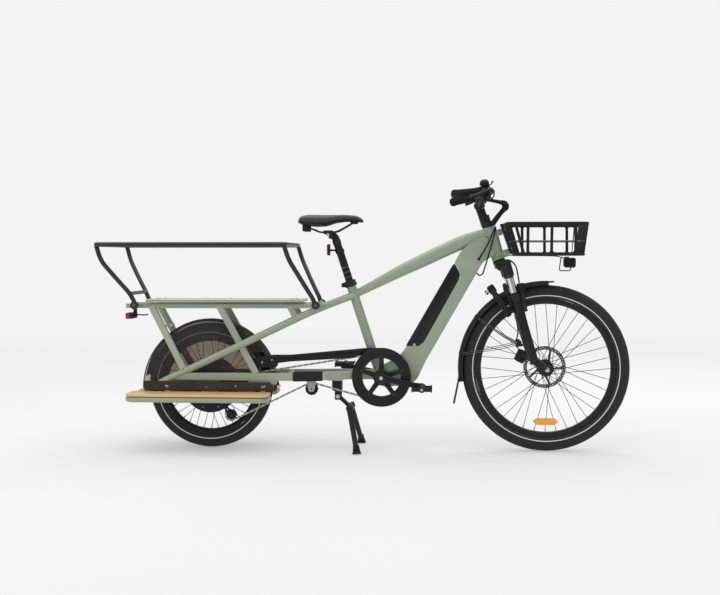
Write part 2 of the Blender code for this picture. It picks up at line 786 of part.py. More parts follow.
def fork_axis_down(z):
    """How far down the steering axis a fork leg's axis meets this height."""
    return (HEAD_TOP[1] + LEG_OFFSET * math.sin(HEAD_LEAN) - z) / math.cos(HEAD_LEAN)


def leg_point(z, side, forward=0.0):
    return head_point(fork_axis_down(z), LEG_OFFSET + forward, side * LEG_Y)


def make_fork_crown():
    """Steerer, crown and the two bright stanchions."""
    steerer = rod(head_point(-0.050), head_point(0.180), 0.0142, sides=12)
    race = rod(head_point(HEAD_LENGTH + 0.0006), head_point(HEAD_LENGTH + 0.0140), 0.0250, sides=12)
    crown = box(head_point(0.166, 0.012), (0.050, 0.150, 0.036), lean=-HEAD_LEAN, bevel=0.010)
    parts = [crown, steerer, race]
    for side in (-1, 1):
        parts.append(rod(leg_point(0.762, side), leg_point(0.705, side), 0.0225, sides=12))
        parts.append(rod(leg_point(0.760, side), leg_point(0.500, side), STANCHION_R, sides=12))
    return finish(join(*parts), "fork_crown", "black_metal")


def make_fork_lowers():
    """Lower legs with their bores, the arch over the tyre, the dropouts and the wheel's axle."""
    parts = []
    bores = []
    axle = at(WHEELBASE, 0, FRONT_R)
    for side in (-1, 1):
        parts.append(
            rod(leg_point(0.630, side), leg_point(0.360, side), LOWER_R + 0.001, LOWER_R - 0.001, 12)
        )
        drop = axle + Vector((0, side * LEG_Y, 0))
        low = leg_point(0.368, side)
        parts.append(rod(low, drop, 0.0150, 0.0140, 10))
        parts.append(disc(drop, 0.0185, 0.016, 12))
        bores.append(rod(leg_point(0.660, side), leg_point(0.450, side), STANCHION_R + GAP, sides=12))
    arch = [
        leg_point(0.596, -1, -0.022) + Vector((0, 0.008, 0)),
        leg_point(0.640, -1, -0.024) + Vector((0, 0.014, 0)),
        leg_point(0.676, -1, -0.024) + Vector((0, 0.036, 0)),
        leg_point(0.676, 1, -0.024) + Vector((0, -0.036, 0)),
        leg_point(0.640, 1, -0.024) + Vector((0, -0.014, 0)),
        leg_point(0.596, 1, -0.022) + Vector((0, -0.008, 0)),
    ]
    parts.append(tube(arch, 0.0078, sides=8, corner=0.02, steps=1))
    # The post that stands in front of the right leg, with its cable boot.
    foot = leg_point(0.560, -1, 0.020)
    neck = head_point(fork_axis_down(0.640), LEG_OFFSET + 0.030, -LEG_Y)
    top = neck + Vector((-0.004, 0, 0.0300))
    parts.append(rod(foot, neck, 0.0125, 0.0100, 8))
    parts.append(rod(neck, top, 0.0150, 0.0155, 10))
    parts.append(rod(axle - Vector((0, LEG_Y, 0)), axle + Vector((0, LEG_Y, 0)), 0.0060, sides=8))
    solid = cut(join(*parts), *bores)
    return finish(solid, "fork_lowers", "black_metal")


def make_front_fender():
    """The front mudguard with its flap and wire stays."""
    centre = at(WHEELBASE, 0, FRONT_R)
    sweep = math.radians(94.5)
    shell = turned(arc_profile(0.3525, 0.060, 0.0022, 0.010), centre, 14, math.radians(189.3), sweep)
    flap = [at(1.0185, 0, 0.296), at(1.0080, 0, 0.240), at(0.998, 0, 0.190)]
    rings = []
    for p, half in zip(flap, (0.0262, 0.0310, 0.0330)):
        rings.append([
            p + Vector(v)
            for v in ((-0.0012, -half, 0), (0.0012, -half, 0), (0.0012, half, 0), (-0.0012, half, 0))
        ])
    parts = [shell, lofted(rings)]
    for start, bend in (((1.0917, 0.5392), (1.200, 0.462)), ((1.0288, 0.3918), (1.200, 0.420))):
        for side in (-1, 1):
            wire = [
                at(start[0], side * 0.0287, start[1]), at(bend[0], side * 0.038, bend[1]),
                at(1.252, side * 0.042, 0.436)
            ]
            parts.append(tube(wire, 0.0018, sides=4))
    for side in (-1, 1):
        parts.append(box(at(1.256, side * 0.0425, 0.436), (0.016, 0.0040, 0.020), bevel=0.001))
    return finish(join(*parts), "front_fender", "black_plastic")


def lock_plane():
    """The wheel lock's ring: its centre, the outward radial direction and the ring's axis."""
    out = Vector((-0.555, 0, 0.832)).normalized()
    axis = Vector((out.z, 0, -out.x))
    return at(WHEELBASE, 0, FRONT_R) + out * LOCK_REACH - axis * 0.005, out, axis


def ring_point(radius, degrees, centre, out):
    """A point of the lock's ring, at an angle from the outward direction, towards the right."""
    angle = math.radians(degrees)
    return centre + out * (radius * math.cos(angle)) + Vector((0, -radius * math.sin(angle), 0))


def ring_bar(start, end, steps, radial, axial):
    """A bar of the lock's ring between two angles, of (low, high) sizes across and along its axis."""
    centre, out, axis = lock_plane()
    rings = []
    for i in range(steps + 1):
        degrees = start + (end - start) * i / steps
        rings.append([ring_point(LOCK_RING + dr, degrees, centre, out) + axis * da
                      for dr, da in ((radial[0], axial[0]), (radial[1], axial[0]),
                                     (radial[1], axial[1]), (radial[0], axial[1]))])
    return lofted(rings)


def make_wheel_lock():
    """A horseshoe housing round the tyre behind the fork, and the shackle that turns inside it."""
    centre, out, axis = lock_plane()
    housing = ring_bar(-LOCK_END, LOCK_END, 14, (-0.0125, 0.0125), (-0.011, 0.011))
    block = box(ring_point(LOCK_RING + 0.002, 24, centre, out), (0.030, 0.040, 0.034),
                lean=math.atan2(out.x, out.z), bevel=0.003)
    pads = []
    for side in (-1, 1):
        start = ring_point(LOCK_RING, -62 * side, centre, out) + axis * 0.005
        pads.append(rod(start, start + Vector((0.030, -0.002 * side, -0.003)), 0.0050, sides=8))
    slot = ring_bar(-LOCK_END - 5, LOCK_KNOB + 9, 12, (-0.0055, 0.0055), (-0.0150, 0.0012))
    socket = ring_bar(120, LOCK_END + 5, 3, (-0.0055, 0.0055), (-0.0098, 0.0012))
    solid = cut(join(housing, block, *pads), slot, socket)
    sunk = -0.0042
    tip = 6 - LOCK_END
    rail = tube([ring_point(LOCK_RING, tip + (LOCK_KNOB - tip) * i / 9, centre, out) + axis * sunk
                 for i in range(10)], 0.0038, sides=8)
    foot = ring_point(LOCK_RING, LOCK_KNOB - 3, centre, out) + axis * sunk
    knob = rod(foot, foot - axis * 0.0170, 0.0042, sides=8)
    grip = box(foot - axis * 0.0190, (0.020, 0.012, 0.008), lean=math.atan2(axis.x, axis.z))
    return finish(solid, "wheel_lock", "black_plastic"), finish(
        join(rail, knob, grip), "lock_shackle", "steel"
    )


def caliper(name, centre, lean, mount_to):
    """A brake caliper astride the disc, on the bracket that holds it."""
    block = box(centre, (0.034, 0.028, 0.052), lean=lean, bevel=0.004)
    slot = box(centre, (0.060, 0.0060, 0.070), lean=lean)
    bridge = cut(block, slot)
    back = Vector((math.cos(lean), 0, -math.sin(lean)))
    spine = box(centre + back * mount_to, (0.016, 0.0276, 0.048), lean=lean, bevel=0.003)
    return finish(join(bridge, spine), name, "black_metal")


def make_stem():
    base = head_point(-0.006)
    cone = rod(base, head_point(-0.082), 0.0235, 0.0175, 14)
    clamp_at = at(*HANDLE_CLAMP)
    clamp = disc(clamp_at, 0.0215, 0.046, 12)
    neck = rod(head_point(-0.070), clamp_at, 0.0175, 0.0180, 14)
    solid = join(cone, neck, clamp)
    steerer = rod(head_point(0.010), head_point(-0.0505), 0.0142 + 2 * GAP, sides=12)
    return finish(
        cut(solid, steerer, disc(clamp_at, 0.0159 + 2 * GAP, 0.080, 12)), "stem", "black_metal"
    )




def bar_path():
    half = [
        at(1.098, -0.012, 0.990), at(1.100, -0.040, 0.992), at(1.118, -0.100, 1.020),
        at(1.1479, -0.1611, 1.0445), at(*GRIP_OUT),
    ]
    other = [Vector((p.x, -p.y, p.z)) for p in half]
    return other[::-1] + half


def make_handlebar():
    path = bar_path()
    grip_dir = (at(*GRIP_OUT) - at(*GRIP_IN)).normalized()
    path[0] = path[0] - Vector((grip_dir.x, -grip_dir.y, grip_dir.z)) * 0.006
    path[-1] = path[-1] - grip_dir * 0.006
    bar = tube(path, 0.0111, sides=8, corner=0.030, steps=2)
    sleeve = disc(at(*HANDLE_CLAMP), 0.0159, 0.060, 12)
    return finish(join(bar, sleeve), "handlebar", "black_metal")


def make_grip(side, tag):
    """A closed soft sleeve round the bar's end."""
    inner = at(*GRIP_IN)
    outer = at(*GRIP_OUT)
    along = (outer - inner).normalized()
    start = inner + along * 0.004
    end = outer + along * 0.004
    solid = join(rod(start, end, 0.0158, 0.0172, 12), rod(end - along * 0.010, end, 0.0185, 0.0180, 12))
    solid = cut(solid, rod(start - along * 0.02, end - along * 0.006, 0.0121, sides=12))
    if side > 0:
        solid = swap(solid)
    return finish(solid, "grip_" + tag, "rubber")


def control_frame():
    """Where the right controls sit: a point of the bar just inboard of the grip, and the bar's run."""
    inner = at(*GRIP_IN)
    along = (at(*GRIP_OUT) - inner).normalized()
    return inner, along


def make_controls(side, tag):
    """The brake master cylinder and its clamp, with the switch housings beside it."""
    place, along = control_frame()
    ahead = Vector((-along.y, along.x, 0)).normalized()
    if ahead.x < 0:
        ahead = -ahead
    clamp_at = place - along * 0.020
    ring = rod(clamp_at - along * 0.008, clamp_at + along * 0.008, 0.0185, sides=10)
    cylinder = rod(
        clamp_at + ahead * 0.022 - along * 0.030, clamp_at + ahead * 0.0185 + along * 0.022, 0.0100,
        0.0085, 10
    )
    arm = box(clamp_at + ahead * 0.020, (0.020, 0.014, 0.014), yaw=math.atan2(ahead.y, ahead.x))
    switch_at = place - along * 0.044
    pod = rod(switch_at - along * 0.010, switch_at + along * 0.010, 0.0200, sides=10)
    pod_low = box(
        switch_at + Vector((0, 0, -0.022)), (0.034, 0.022, 0.020), yaw=math.atan2(ahead.y, ahead.x),
        bevel=0.004
    )
    solid = join(ring, cylinder, arm, pod, pod_low, rod(clamp_at, switch_at, 0.0165, sides=10))
    solid = cut(solid, rod(place - along * 0.075, place + along * 0.004, 0.0122, sides=10))
    lever_gap = rod(
        clamp_at + ahead * 0.036 + Vector((0, 0, 0.02)),
        clamp_at + ahead * 0.036 - Vector((0, 0, 0.02)), 0.0098, sides=12
    )
    solid = cut(solid, lever_gap)
    if side > 0:
        solid = swap(solid)
    else:
        solid = join(solid, bell_dome())
    return finish(solid, "controls_" + tag, "black_plastic")


def brake_pivot():
    place, along = control_frame()
    ahead = Vector((-along.y, along.x, 0)).normalized()
    ahead = ahead if ahead.x > 0 else -ahead
    return place - along * 0.020 + ahead * 0.036, along, ahead


def make_brake_lever(side, tag):
    pivot, along, ahead = brake_pivot()
    tip = [
        pivot + ahead * 0.002, pivot + along * 0.030 + ahead * 0.006,
        pivot + along * 0.070 + ahead * 0.010 - Vector((0, 0, 0.010)),
        pivot + along * 0.112 + ahead * 0.012 - Vector((0, 0, 0.014)),
    ]
    blade = tube(tip, 0.0050, sides=8, corner=0.02)
    boss = rod(pivot - Vector((0, 0, 0.0075)), pivot + Vector((0, 0, 0.0075)), 0.0080, sides=12)
    solid = join(blade, boss)
    if side > 0:
        solid = swap(solid)
    return finish(solid, "brake_lever_" + tag, "black_metal")


def make_shift_lever():
    """The thumb lever under the right pod."""
    place, along = control_frame()
    hub = place - along * 0.044 + Vector((0, 0, -0.0375))
    disc_part = rod(hub - Vector((0, 0, 0.004)), hub + Vector((0, 0, 0.004)), 0.010, sides=14)
    paddle = box(hub - Vector((0.022, 0.004, 0.0)), (0.034, 0.012, 0.005), bevel=0.001)
    return finish(join(disc_part, paddle), "shift_lever", "black_plastic"), hub


def bell_dome():
    """The domed bell on top of the right switch housing."""
    place, along = control_frame()
    seat = place - along * 0.034 + Vector((0, 0, 0.0140))
    dome = [
        (0.0005, 0.030), (0.010, 0.0285), (0.0165, 0.022), (0.0185, 0.012), (0.0185, 0.006),
        (0.008, 0.0), (0.0005, 0.0)
    ]
    made = turned(dome, Vector((0, 0, 0)), 10)
    made.data.transform(Matrix.Translation(seat) @ Matrix.Rotation(math.pi / 2, 4, "X"))
    return join(made, rod(seat, seat + Vector((0, 0, 0.029)), 0.003, sides=8))


def make_cable_loom():
    """The wrapped bundle of cables that loops forward from the bars to the head tube."""
    path = [
        at(1.128, -0.030, 1.012), at(1.158, -0.034, 1.006), at(1.196, -0.036, 0.998),
        at(1.203, -0.036, 0.982), at(1.178, -0.036, 0.955), at(1.149, -0.036, 0.914),
    ]
    return finish(tube(path, 0.0095, sides=8, corner=0.02, steps=2), "cable_loom", "rubber")


# ---------------------------------------------------------------- saddle and post



def make_saddle():
    rings = []
    for x, top, low, half in SADDLE_STATIONS:
        mid = (top + low) / 2
        ring = []
        for i in range(14):
            a = 2 * math.pi * i / 14
            y = half * math.copysign(abs(math.sin(a)) ** 0.8, math.sin(a))
            z = mid + (top - mid) * math.copysign(abs(math.cos(a)) ** 0.6, math.cos(a))
            ring.append(at(x, y, z))
        rings.append(ring)
    return finish(lofted(rings), "saddle", "rubber")


def make_saddle_rails():
    """The rails under the saddle with the clamp that holds them on the post."""
    parts = []
    for side in (-1, 1):
        path = [
            at(0.398, side * 0.034, 0.9005), at(0.425, side * 0.028, 0.896),
            at(0.452, side * 0.022, 0.883),
            at(0.520, side * 0.022, 0.883), at(0.562, side * 0.014, 0.906),
            at(0.582, side * 0.009, 0.918),
        ]
        parts.append(tube(path, 0.0036, sides=6, corner=0.01, steps=1))
    clamp = box(at(0.487, 0, 0.884), (0.036, 0.058, 0.018), bevel=0.003)
    bolt = disc(at(0.487, 0, 0.874), 0.0060, 0.050, 8)
    return finish(join(clamp, bolt, *parts), "saddle_rails", "black_metal")


def make_seat_post():
    top = seat_point(0.862)
    low = seat_point(0.470)
    tube_part = rod(low, top, SEAT_POST_R, sides=14)
    slope = (top - low).normalized()
    head = rod(top - slope * 0.012, top + slope * 0.006, 0.0175, sides=14)
    collar = rod(seat_point(0.800), seat_point(0.812), 0.0185, sides=14)
    bracket = box(seat_point(0.806) + Vector((-0.026, 0, 0.004)), (0.030, 0.010, 0.008))
    lens = box(seat_point(0.812) + Vector((-0.0440, 0, 0.000)), (0.010, 0.046, 0.046), bevel=0.002)
    return finish(join(tube_part, head, collar, bracket, lens), "seat_post", "black_metal")


def make_seat_clamp():
    slope = (seat_point(0.70) - seat_point(0.60)).normalized()
    middle = seat_point(0.672)
    ring = rod(middle - slope * 0.010, middle + slope * 0.0155, 0.0245, sides=14)
    ears = box(middle + Vector((-0.028, 0, -0.004)), (0.018, 0.018, 0.018), bevel=0.002)
    solid = cut(
        join(ring, ears), rod(middle - slope * 0.03, middle + slope * 0.0125, 0.0190 + GAP, sides=14)
    )
    solid = cut(solid, rod(middle, middle + slope * 0.04, 0.0166, sides=18))
    pivot = middle + Vector((-0.030, -0.0150, -0.004))
    arm = [pivot, pivot + Vector((0.012, -0.012, 0.004)), pivot + Vector((0.058, -0.018, 0.008))]
    lever = join(
        tube(arm, 0.0045, sides=8, corner=0.008),
        rod(pivot - Vector((0, 0, 0.007)), pivot + Vector((0, 0, 0.007)), 0.0055, sides=10)
    )
    return finish(solid, "seat_clamp", "black_metal"), finish(
        lever, "seat_clamp_lever", "black_metal"
    ), pivot


# ---------------------------------------------------------------- rack extras


def make_rear_fender():
    profile = arc_profile(FENDER_R, FENDER_W, 0.0022, 0.009)
    shell = turned(profile, at(0, 0, REAR_R), 20, math.radians(188), math.radians(176.5))
    stem = box(at(0.066, 0, 0.5473), (0.020, 0.020, 0.0585), bevel=0.002)
    return finish(join(shell, stem), "rear_fender", "black_plastic")


def make_skirt(side, tag):
    """A smoked side panel over the wheel's upper half, leaning in towards the mudguard."""
    outline = []
    for i in range(25):
        a = math.radians(186 - i * 172 / 24)
        outline.append((SKIRT_R * math.cos(a), REAR_R + SKIRT_R * math.sin(a)))
    if side < 0:
        outline = [p for p in outline if p[0] < 0.190 or p[1] > 0.395]
        outline += [(0.184, 0.392), (0.184, 0.245)]
    else:
        outline += [(0.262, 0.262), (0.240, 0.245)]
    panel = plate(outline, 0, 0.0020)
    lean = Matrix.Identity(4)
    lean[1][2] = -0.091 * side
    panel.data.transform(Matrix.Translation((0, side * 0.0836, 0)) @ lean)
    window = box(at(0, side * 0.0600, 0.262), (0.060, 0.040, 0.060))
    return finish(cut(panel, window), "wheel_skirt_" + tag, "smoke")


def make_chain_cover():
    outline = [
        (0.192, 0.376), (0.262, 0.3855), (0.337, 0.386), (0.636, 0.4145), (0.613, 0.388),
        (0.594, 0.3765), (0.554, 0.3735), (0.337, 0.360), (0.284, 0.353), (0.282, 0.337),
        (0.196, 0.334),
    ]
    cover = plate(outline, -0.0495, 0.027)
    groove = plate(
        [(0.200, 0.300), (0.200, 0.366), (0.340, 0.381), (0.620, 0.408), (0.640, 0.300)], -0.0480,
        0.0180
    )
    return finish(cut(cover, groove), "chain_cover", "black_plastic")


def chain_path(arc_step=math.radians(18)):
    """The chain's centre line: tangent runs and arcs over its five wheels, as (x, z) points."""
    wheels = [
        (CRANK, pitch_radius(RING_TEETH), 1), ((0.0, REAR_R), pitch_radius(COG_TEETH), 1),
        (GUIDE, pitch_radius(PULLEY_TEETH), -1), (TENSION, pitch_radius(PULLEY_TEETH), 1),
        (IDLER, pitch_radius(IDLER_TEETH), -1),
    ]
    headings = []
    for i, (c, r, s) in enumerate(wheels):
        d, q, t = wheels[(i + 1) % len(wheels)]
        line = Vector((d[0] - c[0], d[1] - c[1]))
        lift = math.asin((s * r - t * q) / line.length)
        headings.append(math.atan2(line.y, line.x) + lift)
    path = []
    for i, (c, r, s) in enumerate(wheels):
        first = headings[i - 1]
        turn = (s * (headings[i] - first)) % (2 * math.pi)
        steps = max(1, round(turn / arc_step))
        for k in range(steps + 1):
            a = first + s * turn * k / steps
            path.append((c[0] + s * r * math.sin(a), c[1] - s * r * math.cos(a)))
    return path


def make_chain():
    path = chain_path()
    bm = bmesh.new()
    rings = []
    for i, (x, z) in enumerate(path):
        before = Vector(path[i - 1])
        after = Vector(path[(i + 1) % len(path)])
        along = (after - before).normalized()
        out = Vector((along.y, 0, -along.x)) * (CHAIN_H / 2)
        wide = Vector((0, CHAIN_W / 2, 0))
        centre = at(x, CHAIN_Y, z)
        rings.append(
            [bm.verts.new(centre + out * a + wide * b) for a, b in ((-1, -1), (1, -1), (1, 1), (-1, 1))]
        )
    for i, ring in enumerate(rings):
        following = rings[(i + 1) % len(rings)]
        for k in range(4):
            bm.faces.new((ring[k], ring[(k + 1) % 4], following[(k + 1) % 4], following[k]))
    bmesh.ops.recalc_face_normals(bm, faces=bm.faces)
    return finish(from_bmesh(bm), "chain", "steel")


def make_lights():
    rear = join(
        box(at(-0.331, 0, 0.5410), (0.026, 0.086, 0.028), bevel=0.005),
        box(at(-0.317, 0, 0.553), (0.012, 0.020, 0.034)),
    )
    front = join(
        box(at(1.462, 0, 0.7600), (0.050, 0.046, 0.040), bevel=0.007),
        box(at(1.448, 0, 0.7800), (0.016, 0.024, 0.008)),
        tube([
            at(1.424, -0.016, 0.780), at(1.416, -0.016, 0.728), at(1.462, -0.016, 0.728),
            at(1.462, -0.016, 0.748)
        ], 0.0022, sides=6, corner=0.01),
        tube([at(1.424, -0.016, 0.7795), at(1.448, -0.010, 0.7795)], 0.0022, sides=6),
    )
    return [finish(rear, "rear_light", "red"), finish(front, "front_light", "black_plastic")]




def basket_wall(x_share, y_share, height):
    """A point of the basket's tapered wall: shares run 0 to 1 rear to front and -1 to 1 across."""
    t = (height - BASKET_LOW[2]) / (BASKET_TOP[2] - BASKET_LOW[2])
    rear = BASKET_LOW[0] + (BASKET_TOP[0] - BASKET_LOW[0]) * t
    front = BASKET_LOW[1] + (BASKET_TOP[1] - BASKET_LOW[1]) * t
    half = BASKET_LOW[3] + (BASKET_TOP[3] - BASKET_LOW[3]) * t
    return at(rear + (front - rear) * x_share, y_share * half, height)


def basket_hoop(height, radius, sides):
    corners = [
        basket_wall(0, -1, height), basket_wall(1, -1, height), basket_wall(1, 1, height),
        basket_wall(0, 1, height)
    ]
    path = []
    for i, corner in enumerate(corners):
        path += fillet([corners[i - 1], corner, corners[(i + 1) % 4]], 0.030, 2)[1:-1]
    return tube(path, radius, sides=sides, closed=True)


def slat(low, high, wide, thick, across):
    """A flat bar between two points, its wide side along the given direction."""
    line = (high - low)
    side = across.normalized() * (wide / 2)
    out = line.cross(across).normalized() * (thick / 2)
    rings = [[p - side - out, p + side - out, p + side + out, p - side + out] for p in (low, high)]
    return lofted(rings)


def make_basket():
    low, high = BASKET_LOW[2], BASKET_TOP[2]
    parts = [basket_hoop(high, 0.0078, 6), basket_hoop(low, 0.0078, 6), basket_hoop(0.843, 0.0022, 4)]
    along = Vector((1, 0, 0))
    across = Vector((0, 1, 0))
    for side in (-1, 1):
        for share in (0.26, 0.545, 0.83):
            parts.append(slat(
                basket_wall(share, side, low), basket_wall(share, side, high), 0.0120, 0.0050, along
            ))
    for share in (-0.75, -0.45, -0.15, 0.15, 0.45, 0.75):
        parts.append(
            slat(basket_wall(1, share, low), basket_wall(1, share, high), 0.0080, 0.0045, across)
        )
    for share in (-0.80, -0.30, 0.30, 0.80):
        parts.append(
            slat(basket_wall(0, share, low), basket_wall(0, share, high), 0.0110, 0.0050, across)
        )
    for share in (-0.66, -0.22, 0.22, 0.66):
        parts.append(
            slat(basket_wall(0, share, low), basket_wall(1, share, low), 0.0120, 0.0050, across)
        )
    for share in (0.5,):
        parts.append(
            slat(basket_wall(share, -1, low), basket_wall(share, 1, low), 0.0120, 0.0050, along)
        )
    return finish(join(*parts), "basket", "black_plastic")


def make_basket_mount():
    top = at(1.1860, 0, 0.9160)
    low = at(1.2282, 0, 0.7950)
    web = slat(low, top, 0.060, 0.0120, Vector((0, 1, 0)))
    return finish(web, "basket_mount", "black_metal")


def make_calipers():
    front = caliper("front_caliper", at(1.2730, 0.0392, 0.3780), math.radians(-155.1), 0.016)
    rear = caliper("rear_caliper", at(0.0825, 0.0462, 0.2090), math.radians(30), 0.016)
    return front, rear


def make_derailleur():
    """The gear mechanism under the right dropout, with its cage round the two pulleys."""
    parts = []
    guide = at(GUIDE[0], 0, GUIDE[1])
    tension = at(TENSION[0], 0, TENSION[1])
    for y in (-0.0402, -0.0562):
        wide = Vector((0, y, 0))
        parts.append(slat(
            guide + wide, tension + wide, 0.0160, 0.0022, (tension - guide).cross(Vector((0, 1, 0)))
        ))
        parts.append(disc(guide + wide, 0.0125, 0.0022, 14))
        parts.append(disc(tension + wide, 0.0125, 0.0022, 14))
    parts.append(
        rod(guide + Vector((0, -0.0395, 0)), guide + Vector((0, -0.0700, 0)), 0.0045, sides=10)
    )
    parts.append(
        rod(tension + Vector((0, -0.0395, 0)), tension + Vector((0, -0.0570, 0)), 0.0030, sides=10)
    )
    parts.append(disc(guide + Vector((0, CHAIN_Y, 0)), 0.0175, 0.0040, 16))
    parts.append(
        slat(at(0.046, -0.0640, 0.204), at(0.018, -0.0640, 0.226), 0.010, 0.020, Vector((0, 1, 0)))
    )
    parts.append(rod(at(0.046, -0.0600, 0.200), at(0.046, -0.0740, 0.200), 0.0120, sides=14))
    return finish(join(*parts), "derailleur", "black_metal")


def make_kickstand_mount():
    px, pz = STAND_PIVOT
    block = box(at(px - 0.004, 0, 0.2605), (0.040, 0.054, 0.0440), bevel=0.003)
    parts = [block]
    for side in (-1, 1):
        parts.append(box(at(px, side * 0.0225, 0.226), (0.026, 0.0080, 0.050), bevel=0.002))
    parts.append(disc(at(px, 0, pz), 0.0050, 0.046, 12))
    return finish(join(*parts), "kickstand_mount", "black_metal")


def make_kickstand():
    px, pz = STAND_PIVOT
    hub = disc(at(px, 0, pz), 0.0130, 0.0360, 16)
    link = slat(at(px + 0.006, 0, pz - 0.006), at(0.572, 0, 0.174), 0.0300, 0.0140, Vector((0, 1, 0)))
    yoke = tube([at(0.575, -0.052, 0.168), at(0.575, 0.052, 0.168)], 0.0125, sides=12)
    parts = [hub, link, yoke]
    x, y = STAND_FOOT
    for side in (-1, 1):
        parts.append(rod(
            at(0.574, side * 0.046, 0.176), at(x - 0.001, side * (y - 0.003), 0.012), 0.0115, sides=12
        ))
        parts.append(
            rod(at(x, side * y, 0.0), at(x - 0.004, side * (y - 0.007), 0.030), 0.0165, 0.0115, 12)
        )
    solid = join(*parts)
    floor = box(at(x, 0, -0.05), (0.3, 0.5, 0.1))
    return finish(cut(solid, disc(at(px, 0, pz), 0.0056, 0.060, 12), floor), "kickstand", "black_metal")


# ---------------------------------------------------------------- crank and pulleys


def crank_end(side):
    """The pedal end of the crank arm: the right one points forward, the left one back."""
    s = 1 if side < 0 else -1
    return (
        CRANK[0] + s * CRANK_LENGTH * math.cos(CRANK_DROP),
        CRANK[1] - s * CRANK_LENGTH * math.sin(CRANK_DROP)
    )


def make_crank():
    x, z = CRANK
    parts = [disc(at(x, 0, z), 0.0160, 0.156, 12)]
    for side in (-1, 1):
        ex, ez = crank_end(side)
        hub = at(x, side * 0.0790, z)
        end = at(ex, side * 0.0930, ez)
        across = (end - hub).cross(Vector((0, 1, 0)))
        arm = slat(hub, end, 0.0250, 0.0125, across)
        parts.append(arm)
        parts.append(disc(hub, 0.0200, 0.0180, 12))
        parts.append(disc(end, 0.0150, 0.0140, 12))
        parts.append(rod(end, at(ex, side * 0.1900, ez), 0.0055, sides=8))
    return finish(join(*parts), "crank_set", "black_metal")


def make_chainring():
    """The toothed ring's body on its five-armed spider."""
    x, z = CRANK
    rim = pitch_radius(RING_TEETH) - CHAIN_H / 2 - 0.0013
    ring = turned(
        [(0.0790, -0.0495), (rim, -0.0495), (rim, -0.0465), (0.0790, -0.0465)], at(x, 0, z), 36
    )
    core = turned(
        [(0.0163, -0.0560), (0.0300, -0.0560), (0.0300, -0.0465), (0.0163, -0.0465)], at(x, 0, z), 12
    )
    arms = []
    for i in range(5):
        a = 2 * math.pi * (i + 0.25) / 5
        start = at(x + 0.024 * math.cos(a), -0.0500, z + 0.024 * math.sin(a))
        end = at(x + 0.0830 * math.cos(a), -0.0500, z + 0.0830 * math.sin(a))
        arms.append(slat(start, end, 0.0170, 0.0050, (end - start).cross(Vector((0, 1, 0)))))
    return finish(join(ring, core, *arms), "chainring", "black_metal")


def make_chain_guard():
    x, z = CRANK
    section = [(0.0792, -0.0580), (0.1190, -0.0580), (0.1195, -0.0535), (0.0792, -0.0535)]
    return finish(turned(section, at(x, 0, z), 36), "chain_guard", "black_plastic")


def make_pedal(side, tag):
    ex, ez = crank_end(side)
    centre = at(ex, side * 0.1500, ez)
    body_part = box(centre, (0.0800, 0.0900, 0.0150), bevel=0.003)
    core = disc(centre, 0.0125, 0.0900, 14)
    windows = [
        box(centre + Vector((s * 0.0240, t * 0.0215, 0)), (0.0170, 0.0330, 0.05)) for s in (-1, 1)
        for t in (-1, 1)
    ]
    solid = cut(join(body_part, core), *windows)
    return finish(cut(solid, disc(centre, 0.0060, 0.20, 12)), "pedal_" + tag, "black_plastic")


def make_idler():
    """The wheel that carries the chain's lower run ahead of the rear wheel."""
    x, z = IDLER
    root = pitch_radius(IDLER_TEETH) - CHAIN_H / 2 - 0.0009
    half = CHAIN_W / 2 + GAP
    section = [
        (0.0052, CHAIN_Y - 0.0065), (0.0290, CHAIN_Y - 0.0065), (0.0300, CHAIN_Y - half),
        (root, CHAIN_Y - half), (root, CHAIN_Y + half),
        (0.0300, CHAIN_Y + half), (0.0290, CHAIN_Y + 0.0055), (0.0052, CHAIN_Y + 0.0055),
    ]
    return finish(turned(section, at(x, 0, z), 18), "idler_wheel", "black_plastic")


def make_pulley():
    x, z = TENSION
    root = pitch_radius(PULLEY_TEETH) - CHAIN_H / 2 - GAP
    wheel = turned([
        (0.0036, CHAIN_Y - 0.0030), (root, CHAIN_Y - 0.0030), (root, CHAIN_Y + 0.0030),
        (0.0036, CHAIN_Y + 0.0030)
    ], at(x, 0, z), 24)
    return finish(wheel, "tension_pulley", "black_plastic")


# ---------------------------------------------------------------- assembly


